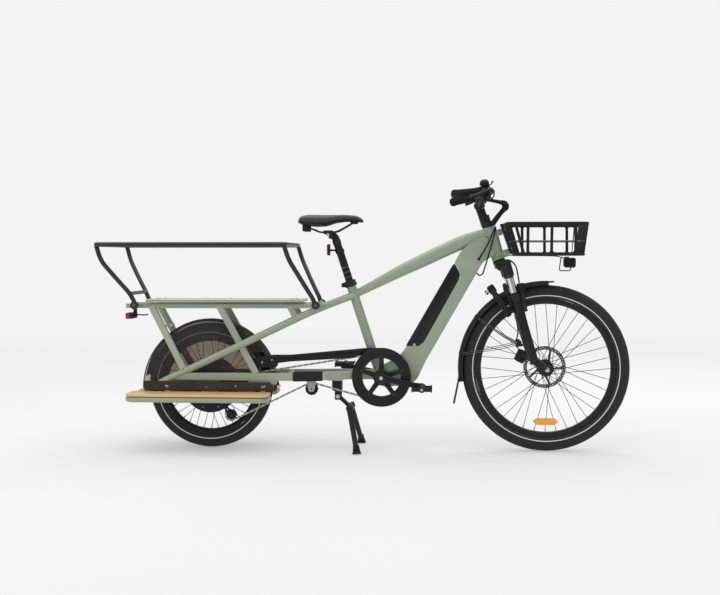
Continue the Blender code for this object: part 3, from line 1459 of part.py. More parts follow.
def build():
    make_frame()
    make_stay_guard()
    make_rack()
    make_rear_fender()
    make_skirt(-1, "R")
    make_skirt(1, "L")
    make_chain_cover()
    make_chain()
    make_lights()
    make_basket()
    make_basket_mount()
    make_rear_axle()
    front_caliper, rear_caliper = make_calipers()
    make_derailleur()
    make_kickstand_mount()
    battery = make_battery()
    body("battery", at(0.915, 0, 0.590), [battery])
    clamp, lever, lever_pivot = make_seat_clamp()
    body("seat_lever", lever_pivot, [lever])
    body("seat_post", seat_point(0.683), [make_seat_post(), make_saddle(), make_saddle_rails()])

    steering = body("steering", head_point(0), [
        make_fork_crown(), make_stem(), make_handlebar(), make_grip(-1, "R"), make_grip(1, "L"),
        make_controls(-1, "R"), make_controls(1, "L"), make_cable_loom(),
    ])
    pivot = brake_pivot()[0]
    body("brake_lever_R", pivot, [make_brake_lever(-1, "R")], steering)
    body("brake_lever_L", Vector((pivot.x, -pivot.y, pivot.z)), [make_brake_lever(1, "L")], steering)
    shifter, shift_pivot = make_shift_lever()
    body("shift_lever", shift_pivot, [shifter], steering)
    lock, shackle = make_wheel_lock()
    lowers = body("fork_lowers", leg_point(0.500, -1) + Vector((0, LEG_Y, 0)), [
        make_fork_lowers(), make_front_fender(), lock, front_caliper,
    ], steering)
    body("lock_shackle", lock_plane()[0], [shackle], lowers)
    body("front_wheel", at(WHEELBASE, 0, FRONT_R), make_front_wheel(), lowers)
    body("rear_wheel", at(0, 0, REAR_R), make_rear_wheel())
    body("cassette", at(0, 0, REAR_R), [make_cassette()])
    crank = body(
        "crank", at(CRANK[0], 0, CRANK[1]), [make_crank(), make_chainring(), make_chain_guard()]
    )
    for side, tag in ((-1, "R"), (1, "L")):
        ex, ez = crank_end(side)
        body("pedal_" + tag, at(ex, side * 0.150, ez), [make_pedal(side, tag)], crank)
    body("idler", at(IDLER[0], CHAIN_Y, IDLER[1]), [make_idler()])
    body("tension_pulley", at(TENSION[0], CHAIN_Y, TENSION[1]), [make_pulley()])
    body("kickstand", at(STAND_PIVOT[0], 0, STAND_PIVOT[1]), [make_kickstand()])


build()
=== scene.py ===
"""Looks for the cargo bicycle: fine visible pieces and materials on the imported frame's bodies."""

import math

import bmesh
import bpy
import numpy as np
from mathutils import Matrix, Vector


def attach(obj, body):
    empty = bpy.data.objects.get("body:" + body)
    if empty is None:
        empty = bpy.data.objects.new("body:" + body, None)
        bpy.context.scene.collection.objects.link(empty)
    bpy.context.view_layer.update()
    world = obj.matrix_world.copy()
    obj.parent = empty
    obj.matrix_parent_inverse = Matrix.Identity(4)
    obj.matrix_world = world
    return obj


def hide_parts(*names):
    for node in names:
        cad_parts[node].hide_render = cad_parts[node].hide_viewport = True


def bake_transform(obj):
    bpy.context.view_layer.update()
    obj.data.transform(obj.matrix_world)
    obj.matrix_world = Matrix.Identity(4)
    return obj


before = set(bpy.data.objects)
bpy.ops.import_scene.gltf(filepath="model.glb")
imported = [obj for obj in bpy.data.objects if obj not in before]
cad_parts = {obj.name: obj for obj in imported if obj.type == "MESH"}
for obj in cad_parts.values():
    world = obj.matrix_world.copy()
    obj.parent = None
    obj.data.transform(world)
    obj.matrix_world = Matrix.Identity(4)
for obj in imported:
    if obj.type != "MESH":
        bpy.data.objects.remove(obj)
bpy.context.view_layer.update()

# ---------------------------------------------------------------- sizes (metres, from the rear axle)
MID_X = 0.63791
WHEELBASE = 1.366
FRONT_R = 0.335
REAR_R = 0.2565
HEAD_TOP = (1.137, 0.903)
HEAD_LEAN = math.radians(16.6)
HEAD_LENGTH = 0.137
LEG_OFFSET = 0.018
LEG_Y = 0.065
CRANK = (0.706, 0.298)
CHAIN_Y = -0.048
PITCH = 0.0127
IDLER = (0.423, 0.249)
GUIDE = (0.046, 0.200)
TENSION = (0.092, 0.139)
FRONT_RIM_IN = 0.259
REAR_RIM_IN = 0.181
CRANK_LENGTH = 0.168
CRANK_DROP = math.radians(11.5)
STANCHION_R = 0.0158
SKIRT_R = 0.2700
CRANK_AT = (CRANK[0], 0, CRANK[1])
# Chainstay centre line: the straight run behind the crank, then its narrowing neck
STAY_RUN = ((0.335, -0.0780, 0.2995), (0.485, -0.0655, 0.3025))
STAY_NECK = (
    (0.480, -0.0658, 0.3025), (0.545, -0.0480, 0.3045), (0.605, -0.0320, 0.3045), (0.690, -0.0220, 0.3040)
)
# Handlebar clamp, and the right grip's inner and outer ends
HANDLE_CLAMP = (1.098, 0.0, 0.990)
GRIP_IN = (1.086, -0.2185, 1.034)
GRIP_OUT = (0.997, -0.3010, 1.019)
# Basket rims: rear end, front end, height, half width
BASKET_TOP = (1.203, 1.514, 0.914, 0.160)
BASKET_LOW = (1.243, 1.499, 0.794, 0.146)
# Kickstand pivot and foot
STAND_PIVOT = (0.527, 0.216)
STAND_FOOT = (0.613, 0.1385)
SEAT_LOW = (0.6995, 0.298)
SEAT_HIGH = (0.578, 0.669)
STAY_Y = 0.078
RAIL_Y = 0.062
LOOP_Z = 0.832
LOOP_Y = 0.233
SIDES = 28


def V(*values):
    return Vector(values)


def at(x, y, z):
    return Vector((x - MID_X, y, z))


def head_point(down, forward=0.0, y=0.0):
    """A point this far down the steering axis from the head tube's top, and ahead of the axis."""
    s = math.sin(HEAD_LEAN)
    c = math.cos(HEAD_LEAN)
    return at(HEAD_TOP[0] + down * s + forward * c, y, HEAD_TOP[1] - down * c + forward * s)


def fork_down(z):
    """How far down the steering axis a fork leg's axis meets this height."""
    return (HEAD_TOP[1] + LEG_OFFSET * math.sin(HEAD_LEAN) - z) / math.cos(HEAD_LEAN)


def leg_point(z, side, forward=0.0):
    return head_point(fork_down(z), LEG_OFFSET + forward, side * LEG_Y)


def seat_point(z, forward=0.0):
    slope = (SEAT_HIGH[0] - SEAT_LOW[0]) / (SEAT_HIGH[1] - SEAT_LOW[1])
    return at(SEAT_LOW[0] + (z - SEAT_LOW[1]) * slope + forward, 0, z)


def pitch_radius(teeth):
    return PITCH / (2 * math.sin(math.pi / teeth))


# ---------------------------------------------------------------- materials


class Mat:
    """A node material built up in a few calls."""

    def __init__(self, name):
        self.mat = bpy.data.materials.new(name)
        self.mat.use_nodes = True
        self.tree = self.mat.node_tree
        self.shader = self.tree.nodes["Principled BSDF"]
        self.coords = self.node("ShaderNodeTexCoord").outputs["Object"]

    def node(self, kind, **values):
        made = self.tree.nodes.new(kind)
        for key, value in values.items():
            if hasattr(made, key) and key not in made.inputs:
                setattr(made, key, value)
            else:
                made.inputs[key].default_value = value
        return made

    def link(self, out, to):
        self.tree.links.new(out, to)

    def noise(self, scale, detail=3.0, stretch=(1, 1, 1), rough=0.5):
        mapping = self.node("ShaderNodeMapping")
        mapping.inputs["Scale"].default_value = stretch
        self.link(self.coords, mapping.inputs["Vector"])
        made = self.node("ShaderNodeTexNoise", Scale=scale, Detail=detail, Roughness=rough)
        self.link(mapping.outputs[0], made.inputs["Vector"])
        return made.outputs["Fac"]

    def ramp(self, source, stops):
        made = self.node("ShaderNodeValToRGB")
        elements = made.color_ramp.elements
        while len(elements) < len(stops):
            elements.new(0.5)
        for element, (place, colour) in zip(elements, stops):
            element.position = place
            element.color = (*colour, 1) if len(colour) == 3 else colour
        self.link(source, made.inputs[0])
        return made.outputs["Color"]

    def spread(self, source, low, high):
        made = self.node("ShaderNodeMapRange")
        made.inputs["To Min"].default_value = low
        made.inputs["To Max"].default_value = high
        self.link(source, made.inputs["Value"])
        return made.outputs[0]

    def mix(self, share, one, two, mode="MIX"):
        made = self.node("ShaderNodeMix")
        made.data_type = "RGBA"
        made.blend_type = mode
        for socket, value in ((made.inputs[0], share), (made.inputs[6], one), (made.inputs[7], two)):
            if isinstance(value, bpy.types.NodeSocket):
                self.link(value, socket)
            elif isinstance(value, (int, float)):
                socket.default_value = value
            else:
                socket.default_value = (*value, 1)
        return made.outputs[2]

    def bump(self, source, strength, distance):
        made = self.node("ShaderNodeBump", Strength=strength, Distance=distance)
        self.link(source, made.inputs["Height"])
        self.link(made.outputs[0], self.shader.inputs["Normal"])

    def edges(self, low=0.50, high=0.56):
        """White on the convex edges of the mesh: scuffing, and a painted highlight where the edges catch light.
        """
        geo = self.node("ShaderNodeNewGeometry")
        return self.ramp(geo.outputs["Pointiness"], [(low, (0, 0, 0)), (high, (1, 1, 1))])

    def set(self, **values):
        for key, value in values.items():
            socket = self.shader.inputs[key.replace("_", " ")]
            if isinstance(value, bpy.types.NodeSocket):
                self.link(value, socket)
            elif isinstance(value, tuple):
                socket.default_value = (*value, 1)
            else:
                socket.default_value = value
        return self.mat


def shade(colour, by):
    return tuple(min(1.0, c * by) for c in colour)


def paint(name, colour, rough, coat=0.0, wear_and_sheen=0.25, grain=500.0, grain_depth=0.00004, shine=0.2):
    """Paint or moulded plastic: cloudy colour, a fine skin texture, and paler convex edges that are partly
    scuffing and partly a painted highlight.
    """
    m = Mat(name)
    clouds = m.noise(9.0, 4.0)
    base = m.mix(clouds, shade(colour, 0.90), shade(colour, 1.10))
    # Paler convex edges: scuffing plus a painted highlight.
    worn_and_lit = m.mix(m.edges(), base, shade(colour, 1.0 + 2.0 * wear_and_sheen))
    m.bump(m.noise(grain, 2.0), 0.35, grain_depth)
    return m.set(Base_Color=worn_and_lit, Roughness=m.spread(m.noise(30.0, 3.0), rough - 0.06, rough + 0.07),
                 Specular_IOR_Level=shine, Coat_Weight=coat, Coat_Roughness=0.25)


def bare_metal(name, colour, rough, streak=(1, 1, 1), scale=120.0):
    """Bare metal with faint brushing and a little grime."""
    m = Mat(name)
    lines = m.noise(scale, 4.0, streak)
    base = m.mix(m.noise(25.0, 3.0), shade(colour, 0.80), colour)
    m.bump(lines, 0.15, 0.00005)
    return m.set(Base_Color=base, Roughness=m.spread(lines, rough - 0.08, rough + 0.12), Metallic=1.0)


def tyre_rubber():
    m = Mat("tyre_rubber")
    base = m.mix(m.noise(60.0, 5.0), (0.012, 0.012, 0.013), (0.026, 0.026, 0.027))
    # Paler convex edges of the tread: dust, and a painted highlight where the edges catch light.
    dust_and_sheen = m.mix(m.edges(0.505, 0.60), base, (0.052, 0.051, 0.049))
    m.bump(m.noise(900.0, 3.0), 0.5, 0.0002)
    return m.set(
        Base_Color=dust_and_sheen, Roughness=m.spread(m.noise(40.0, 3.0), 0.66, 0.86), Specular_IOR_Level=0.35
    )


def bamboo(name, pale, dark, strips):
    """Laminated strips along the board, each with its own tone, fine grain and nodes across."""
    m = Mat(name)
    split = m.node("ShaderNodeSeparateXYZ")
    m.link(m.coords, split.inputs[0])
    lane = m.node("ShaderNodeMath", operation="MULTIPLY")
    lane.inputs[1].default_value = strips
    m.link(split.outputs["Y"], lane.inputs[0])
    whole = m.node("ShaderNodeMath", operation="FLOOR")
    m.link(lane.outputs[0], whole.inputs[0])
    tone = m.node("ShaderNodeTexWhiteNoise")
    tone.noise_dimensions = "1D"
    m.link(whole.outputs[0], tone.inputs["W"])
    grain = m.noise(14.0, 8.0, (1.2, 30, 30), 0.65)
    streaks = m.mix(grain, dark, pale)
    base = m.mix(m.spread(tone.outputs["Value"], 0.0, 0.35), streaks, shade(dark, 0.95))
    part = m.node("ShaderNodeMath", operation="FRACT")
    m.link(lane.outputs[0], part.inputs[0])
    seam = m.ramp(part.outputs[0], [(0.0, (1, 1, 1)), (0.035, (0, 0, 0))])
    base = m.mix(seam, base, shade(dark, 0.55))
    m.bump(grain, 0.2, 0.0002)
    return m.set(
        Base_Color=base, Roughness=m.spread(grain, 0.36, 0.52), Coat_Weight=0.15, Coat_Roughness=0.3
    )


def smoked_sheet():
    """A dark see-through sheet: brown in transmission, greyish where it mirrors the room."""
    m = Mat("smoked_sheet")
    clear = m.node("ShaderNodeBsdfTransparent")
    clear.inputs["Color"].default_value = (0.685, 0.640, 0.600, 1)
    mix = m.node("ShaderNodeMixShader")
    haze = m.spread(m.noise(6.0, 3.0), 0.07, 0.10)
    m.link(haze, mix.inputs[0])
    m.link(clear.outputs[0], mix.inputs[1])
    m.set(Base_Color=m.mix(m.noise(40.0, 4.0), (0.30, 0.305, 0.31), (0.38, 0.385, 0.39)), Roughness=0.24)
    m.link(m.shader.outputs[0], mix.inputs[2])
    m.link(mix.outputs[0], m.tree.nodes["Material Output"].inputs["Surface"])
    return m.mat


def lens(name, colour, scale=260.0):
    """A moulded lens with a field of small prisms."""
    m = Mat(name)
    cells = m.node("ShaderNodeTexVoronoi", Scale=scale)
    m.link(m.coords, cells.inputs["Vector"])
    base = m.mix(
        m.ramp(cells.outputs["Distance"], [(0.0, (0, 0, 0)), (0.6, (1, 1, 1))]), shade(colour, 0.75),
        shade(colour, 1.25)
    )
    m.bump(cells.outputs["Distance"], 0.5, 0.0006)
    return m.set(Base_Color=base, Roughness=m.spread(
        cells.outputs["Distance"], 0.10, 0.22
    ), Coat_Weight=0.6,
                 Coat_Roughness=0.05)


def saddle_cover():
    m = Mat("saddle_cover")
    cells = m.node("ShaderNodeTexVoronoi", Scale=700.0)
    m.link(m.coords, cells.inputs["Vector"])
    base = m.mix(m.noise(18.0, 4.0), (0.020, 0.020, 0.021), (0.042, 0.042, 0.043))
    m.bump(cells.outputs["Distance"], 0.45, 0.00025)
    # Paler convex edges: a scuffed cover, and a painted highlight where the edges catch light.
    return m.set(Base_Color=m.mix(m.edges(0.505, 0.58), base, (0.07, 0.07, 0.07)),
                 Roughness=m.spread(m.noise(60.0, 3.0), 0.42, 0.60), Sheen_Weight=0.15)


SAGE = (0.295, 0.345, 0.258)
LOOKS = {
    "sage": paint("sage_paint", SAGE, 0.36, coat=0.25, wear_and_sheen=0.12, grain=420.0, shine=0.5),
    "black": paint("black_paint", (0.011, 0.011, 0.012), 0.38, coat=0.06, wear_and_sheen=0.5),
    "rail": paint("rail_paint", (0.014, 0.014, 0.015), 0.36, coat=0.12, wear_and_sheen=0.4, shine=0.35),
    "plastic": paint(
        "black_plastic", (0.010, 0.010, 0.011), 0.52, wear_and_sheen=0.5, grain=900.0, grain_depth=0.00008
    ),
    "gloss": paint("gloss_plastic", (0.008, 0.008, 0.009), 0.22, coat=0.2, wear_and_sheen=0.4),
    "grey": paint("grey_plastic", (0.034, 0.034, 0.034), 0.50, wear_and_sheen=0.35, grain=900.0, grain_depth=0.00008),
    "rubber": paint("soft_rubber", (0.010, 0.010, 0.011), 0.72, wear_and_sheen=0.5, grain=1200.0, grain_depth=0.0001),
    "tyre": tyre_rubber(),
    "steel": bare_metal("bare_steel", (0.62, 0.62, 0.63), 0.28),
    "chrome": bare_metal("bright_stanchion", (0.80, 0.80, 0.81), 0.12, (1, 1, 6)),
    "dark_steel": bare_metal("dark_steel", (0.16, 0.16, 0.165), 0.38),
    "chain": bare_metal("chain_steel", (0.34, 0.33, 0.31), 0.36, scale=400.0),
    "alloy": bare_metal("alloy", (0.55, 0.55, 0.56), 0.34),
    # The deck's pale grey-green is a painted highlight: the brightness of its lit top put into the base colour,
    # over the strips.
    "deck": bamboo("deck_painted_highlight", (0.60, 0.60, 0.53), (0.48, 0.475, 0.41), 58.0),
    "wood": bamboo("board_wood", (0.86, 0.60, 0.31), (0.66, 0.41, 0.17), 58.0),
    "smoke": smoked_sheet(),
    "line": paint("reflective_line", (0.62, 0.62, 0.62), 0.45, wear_and_sheen=0.1, grain=1500.0),
    "amber": lens("amber_lens", (0.90, 0.36, 0.015)),
    "red": lens("red_lens", (0.24, 0.008, 0.016)),
    "clear": lens("clear_lens", (0.62, 0.64, 0.66), 180.0),
    "saddle": saddle_cover(),
    "brown": paint("brown_plastic", (0.034, 0.027, 0.020), 0.42, wear_and_sheen=0.3),
    "leaf": paint("saddle_shell", (0.010, 0.010, 0.011), 0.5, wear_and_sheen=0.4),
}

# ---------------------------------------------------------------- shape helpers
# Every helper gives back a mesh object in world coordinates. show() makes one a piece of the bicycle.


def from_bmesh(bm, matrix=None):
    if matrix is not None:
        bmesh.ops.transform(bm, matrix=matrix, verts=bm.verts)
    mesh = bpy.data.meshes.new("work")
    bm.to_mesh(mesh)
    bm.free()
    obj = bpy.data.objects.new("work", mesh)
    bpy.context.scene.collection.objects.link(obj)
    return obj


def to_mesh(obj):
    bpy.context.view_layer.update()
    graph = bpy.context.evaluated_depsgraph_get()
    mesh = bpy.data.meshes.new_from_object(obj.evaluated_get(graph))
    bm = bmesh.new()
    bm.from_mesh(mesh)
    bmesh.ops.remove_doubles(bm, verts=bm.verts, dist=1e-6)
    made = from_bmesh(bm, obj.matrix_world.copy())
    bpy.data.meshes.remove(mesh)
    bpy.data.objects.remove(obj, do_unlink=True)
    return made


def facing(direction):
    return Vector(direction).to_track_quat("Z", "Y").to_matrix().to_4x4()


def rod(start, end, radius, end_radius=None, sides=SIDES, bevel=0.0):
    """A straight round bar or cone between two points, with its rims rounded off."""
    line = end - start
    bm = bmesh.new()
    bmesh.ops.create_cone(bm, cap_ends=True, segments=sides, radius1=radius,
                          radius2=radius if end_radius is None else end_radius, depth=line.length)
    if bevel:
        rims = [
            e for e in bm.edges if len(e.link_faces) == 2 and any(len(f.verts) > 4 for f in e.link_faces)
        ]
        bmesh.ops.bevel(bm, geom=rims, offset=bevel, segments=2, affect="EDGES", profile=0.5)
    return from_bmesh(bm, Matrix.Translation((start + end) / 2) @ facing(line))


def disc(centre, radius, width, sides=SIDES, bevel=0.0):
    half = V(0, width / 2, 0)
    return rod(centre - half, centre + half, radius, sides=sides, bevel=bevel)


def box(centre, size, lean=0.0, bevel=0.0, yaw=0.0, segments=2):
    bm = bmesh.new()
    bmesh.ops.create_cube(bm, size=1.0, matrix=Matrix.Diagonal((*size, 1)))
    if bevel:
        bmesh.ops.bevel(bm, geom=bm.edges[:], offset=bevel, segments=segments, affect="EDGES", profile=0.5)
    turn = Matrix.Rotation(lean, 4, "Y") @ Matrix.Rotation(yaw, 4, "Z")
    return from_bmesh(bm, Matrix.Translation(centre) @ turn)


def fillet(points, radius, steps=6):
    path = [points[0]]
    for before, corner, after in zip(points, points[1:], points[2:]):
        reach = min(radius, (before - corner).length * 0.45, (after - corner).length * 0.45)
        first = corner + (before - corner).normalized() * reach
        last = corner + (after - corner).normalized() * reach
        for i in range(steps + 1):
            t = i / steps
            path.append(first.lerp(corner, t).lerp(corner.lerp(last, t), t))
    path.append(points[-1])
    return path


def ring_path(corners, radius, steps=6):
    path = []
    for i, corner in enumerate(corners):
        path += fillet([corners[i - 1], corner, corners[(i + 1) % len(corners)]], radius, steps)[1:-1]
    return path


def tube(points, radius, sides=16, closed=False, corner=0.0, steps=6, radii=None):
    """A round tube along a path; radii scale it point by point."""
    path = fillet(points, corner, steps) if corner else points
    curve = bpy.data.curves.new("path", "CURVE")
    curve.dimensions = "3D"
    spline = curve.splines.new("POLY")
    spline.points.add(len(path) - 1)
    for i, (point, place) in enumerate(zip(spline.points, path)):
        point.co = (*place, 1)
        point.radius = radii(i / (len(path) - 1)) if radii else 1.0
    spline.use_cyclic_u = closed
    curve.bevel_depth = radius
    curve.bevel_resolution = (sides - 4) // 2
    curve.use_fill_caps = not closed
    obj = bpy.data.objects.new("path", curve)
    bpy.context.scene.collection.objects.link(obj)
    return to_mesh(obj)


def smooth_path(points, count=40):
    """An even curve through a few points."""
    data = np.array([tuple(p) for p in points])
    steps = np.r_[0, np.cumsum(np.linalg.norm(np.diff(data, axis=0), axis=1))]
    padded = np.vstack([2 * data[0] - data[1], data, 2 * data[-1] - data[-2]])
    out = []
    for s in np.linspace(0, steps[-1], count):
        k = min(len(data) - 2, int(np.searchsorted(steps, s, "right")) - 1)
        t = (s - steps[k]) / (steps[k + 1] - steps[k])
        a, b, c, d = padded[k:k + 4]
        p = 0.5 * (
            2 * b + (c - a) * t + (2 * a - 5 * b + 4 * c - d) * t * t + (3 * b - a - 3 * c + d) * t ** 3
        )
        out.append(Vector(p))
    return out


def sheet(outlines, thickness, matrix=None, bevel=0.0):
    """A flat plate in its own XY plane from one outline and any holes, moved by a matrix."""
    curve = bpy.data.curves.new("outline", "CURVE")
    curve.dimensions = "2D"
    curve.fill_mode = "BOTH"
    curve.extrude = thickness / 2 - bevel
    curve.bevel_depth = bevel
    curve.bevel_resolution = 1
    curve.offset = -bevel
    for outline in outlines:
        spline = curve.splines.new("POLY")
        spline.points.add(len(outline) - 1)
        for point, (x, y) in zip(spline.points, outline):
            point.co = (x, y, 0, 1)
        spline.use_cyclic_u = True
    obj = bpy.data.objects.new("outline", curve)
    bpy.context.scene.collection.objects.link(obj)
    made = to_mesh(obj)
    if matrix is not None:
        made.data.transform(matrix)
    bm = bmesh.new()
    bm.from_mesh(made.data)
    bmesh.ops.recalc_face_normals(bm, faces=bm.faces)
    bm.to_mesh(made.data)
    bm.free()
    return made


def upright(x, y, z):
    """Turns a sheet's XY plane into the bicycle's XZ plane, through this point."""
    return Matrix.Translation(at(x, y, z)) @ Matrix.Rotation(math.pi / 2, 4, "X")


def plate(outline, y, thickness, bevel=0.0, holes=()):
    return sheet([outline, *holes], thickness, upright(0, y, 0), bevel)


def rounded(points, radius, steps=5):
    """A 2D outline with its corners rounded."""
    return [(p.x, p.y) for p in ring_path([V(x, y, 0) for x, y in points], radius, steps)]


def copy_of(obj):
    made = obj.copy()
    made.data = obj.data.copy()
    bpy.context.scene.collection.objects.link(made)
    return made


def ring_path_open(corners, radius):
    path = [corners[0]]
    for i in range(1, len(corners) - 1):
        path += fillet([corners[i - 1], corners[i], corners[i + 1]], radius, 6)[1:-1]
    return path + [corners[-1]]


def turned(profile, centre, steps=96, start=0.0, sweep=2 * math.pi, closed=True, ripple=None):
    """A shape turned about Y: profile points are (radius, y). ripple(angle, r, y) adds to the radius."""
    bm = bmesh.new()
    whole = abs(sweep - 2 * math.pi) < 1e-6
    rings = []
    for k in range(steps if whole else steps + 1):
        a = start + sweep * k / steps
        ring = []
        for r, y in profile:
            rr = r + (ripple(a, r, y) if ripple else 0.0)
            ring.append(bm.verts.new(centre + V(rr * math.cos(a), y, rr * math.sin(a))))
        rings.append(ring)
    count = len(profile) if closed else len(profile) - 1
    pairs = list(zip(rings, rings[1:])) + ([(rings[-1], rings[0])] if whole else [])
    for low, high in pairs:
        for i in range(count):
            j = (i + 1) % len(profile)
            bm.faces.new((low[i], low[j], high[j], high[i]))
    if not whole and closed:
        bm.faces.new(rings[0][::-1])
        bm.faces.new(rings[-1])
    bmesh.ops.remove_doubles(bm, verts=bm.verts, dist=1e-7)
    bmesh.ops.recalc_face_normals(bm, faces=bm.faces)
    return from_bmesh(bm)


def lofted(rings):
    bm = bmesh.new()
    made = [[bm.verts.new(p) for p in ring] for ring in rings]
    count = len(rings[0])
    for low, high in zip(made, made[1:]):
        for i in range(count):
            bm.faces.new((low[i], low[(i + 1) % count], high[(i + 1) % count], high[i]))
    bm.faces.new(made[0][::-1])
    bm.faces.new(made[-1])
    bmesh.ops.recalc_face_normals(bm, faces=bm.faces)
    return from_bmesh(bm)


def squircle(count, power):
    """Unit (cos, sin) pairs, squared off as the power falls below 1."""
    out = []
    for i in range(count):
        a = 2 * math.pi * i / count
        out.append((math.copysign(abs(math.cos(a)) ** power, math.cos(a)),
                    math.copysign(abs(math.sin(a)) ** power, math.sin(a))))
    return out


def beam(stations, sides=32, power=0.8):
    """A lofted beam of (centre, half depth, half width) stations whose depth lies in the middle plane."""
    rings = []
    for i, (centre, depth, width) in enumerate(stations):
        along = (stations[min(i + 1, len(stations) - 1)][0] - stations[max(i - 1, 0)][0]).normalized()
        up = along.cross(V(0, 1, 0)).normalized() * -1
        side = up.cross(along).normalized()
        rings.append([centre + up * (depth * c) + side * (width * s) for c, s in squircle(sides, power)])
    return lofted(rings)


def slat(low, high, wide, thick, across, bevel=0.0008):
    """A flat bar between two points with its edges rounded."""
    line = high - low
    side = (across - line * (across.dot(line) / line.length_squared)).normalized() * (wide / 2)
    out = line.cross(side).normalized() * (thick / 2)
    bm = bmesh.new()
    corners = [
        [bm.verts.new(p + a * side + b * out) for a, b in ((-1, -1), (1, -1), (1, 1), (-1, 1))]
        for p in (low, high)
    ]
    for i in range(4):
        j = (i + 1) % 4
        bm.faces.new((corners[0][i], corners[0][j], corners[1][j], corners[1][i]))
    bm.faces.new(corners[0][::-1])
    bm.faces.new(corners[1])
    bmesh.ops.recalc_face_normals(bm, faces=bm.faces)
    if bevel:
        bmesh.ops.bevel(bm, geom=bm.edges[:], offset=bevel, segments=2, affect="EDGES", profile=0.5)
    return from_bmesh(bm)


def boolean(base, others, operation):
    held = bpy.data.collections.new("operands")
    bpy.context.scene.collection.children.link(held)
    for other in others:
        bpy.context.scene.collection.objects.unlink(other)
        held.objects.link(other)
    modifier = base.modifiers.new("Boolean", "BOOLEAN")
    modifier.solver = "EXACT"
    modifier.operation = operation
    modifier.operand_type = "COLLECTION"
    modifier.collection = held
    made = to_mesh(base)
    for other in others:
        bpy.data.objects.remove(other, do_unlink=True)
    bpy.data.collections.remove(held)
    return made


def join(*pieces):
    return boolean(pieces[0], pieces[1:], "UNION")


def cut(base, *cutters):
    return boolean(base, cutters, "DIFFERENCE")


def gather(*pieces):
    """Several solids as one object, each kept whole."""
    bm = bmesh.new()
    for obj in pieces:
        bm.from_mesh(obj.data)
        bpy.data.objects.remove(obj, do_unlink=True)
    return from_bmesh(bm)


def mirrored(obj):
    bm = bmesh.new()
    bm.from_mesh(obj.data)
    bmesh.ops.scale(bm, vec=(1, -1, 1), verts=bm.verts)
    bmesh.ops.reverse_faces(bm, faces=bm.faces)
    return from_bmesh(bm)


def both(obj):
    return [obj, mirrored(obj)]


def swap(obj):
    made = mirrored(obj)
    bpy.data.objects.remove(obj, do_unlink=True)
    return made


def soften(obj, width, angle=40, segments=2):
    """Rounds the sharp edges of a clean solid."""
    modifier = obj.modifiers.new("Bevel", "BEVEL")
    modifier.width = width
    modifier.segments = segments
    modifier.limit_method = "ANGLE"
    modifier.angle_limit = math.radians(angle)
    modifier.use_clamp_overlap = True
    return to_mesh(obj)


def show(obj, name, body, look, stands_for=(), crease=35):
    """Makes the object a piece on this body, with this look; with no body it is left unattached."""
    obj.name = name
    obj.data.name = name
    obj.data.materials.clear()
    obj.data.materials.append(LOOKS[look])
    obj.data.shade_smooth()
    obj.data.set_sharp_from_angle(angle=math.radians(crease))
    if body:
        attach(obj, body)
    if isinstance(stands_for, str):
        stands_for = (stands_for,)
    for node in stands_for:
        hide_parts(node)
    return obj


# ---------------------------------------------------------------- main frame and rack


def head_and_down_tube():
    head = rod(head_point(0), head_point(HEAD_LENGTH), 0.0275, 0.0255, 40, bevel=0.002)
    outline = [
        (0.789, 0.392), (0.905, 0.594), (1.001, 0.761), (1.023, 0.806), (1.062, 0.842),
        (1.120, 0.868), (1.150, 0.840), (1.166, 0.800), (1.150, 0.784), (1.113, 0.765),
        (1.081, 0.707), (0.878, 0.352), (0.849, 0.286), (0.812, 0.262), (0.700, 0.258),
        (0.668, 0.282), (0.672, 0.330), (0.730, 0.352),
    ]
    down = soften(plate(rounded(outline, 0.022, 3), 0.0, 0.060), 0.014, 50, 4)
    return head, down, disc(at(*CRANK_AT), 0.024, 0.073, 40, bevel=0.0015)


def top_tube():
    stations = [((0.590, 0.628), 0.0150, 0.016), ((0.700, 0.684), 0.0190, 0.020), ((0.783, 0.727), 0.0235, 0.024),
                ((0.870, 0.768), 0.0265, 0.027), ((0.960, 0.811), 0.0275, 0.028),
                ((1.050, 0.850), 0.0275, 0.028),
                ((1.135, 0.874), 0.0250, 0.024)]
    knots = [at(x, 0, z) for (x, z), _, _ in stations]
    path = smooth_path(knots, 22)
    made = []
    for i, p in enumerate(path):
        t = i / 21 * (len(stations) - 1)
        k = min(len(stations) - 2, int(t))
        f = t - k
        made.append((
            p, stations[k][1] * (1 - f) + stations[k + 1][1] * f,
            stations[k][2] * (1 - f) + stations[k + 1][2] * f
        ))
    return beam(made, 32, 0.86)


def box_run(places, half_width, half_height, bevel=0.003):
    rings = []
    for place in places:
        centre = at(*place)
        rings.append([
            centre + V(0, y * half_width, z * half_height) for y, z in ((-1, -1), (1, -1), (1, 1), (-1, 1))
        ])
    return soften(lofted(rings), bevel, 50, 2)


def along_run(share):
    return tuple(Vector(STAY_RUN[0]).lerp(Vector(STAY_RUN[1]), share))


def oval_bar(start, end, deep, wide):
    """A straight bar of squared oval section, its depth in the middle plane."""
    return beam([(start, deep, wide), (end, deep, wide)], 28, 0.62)


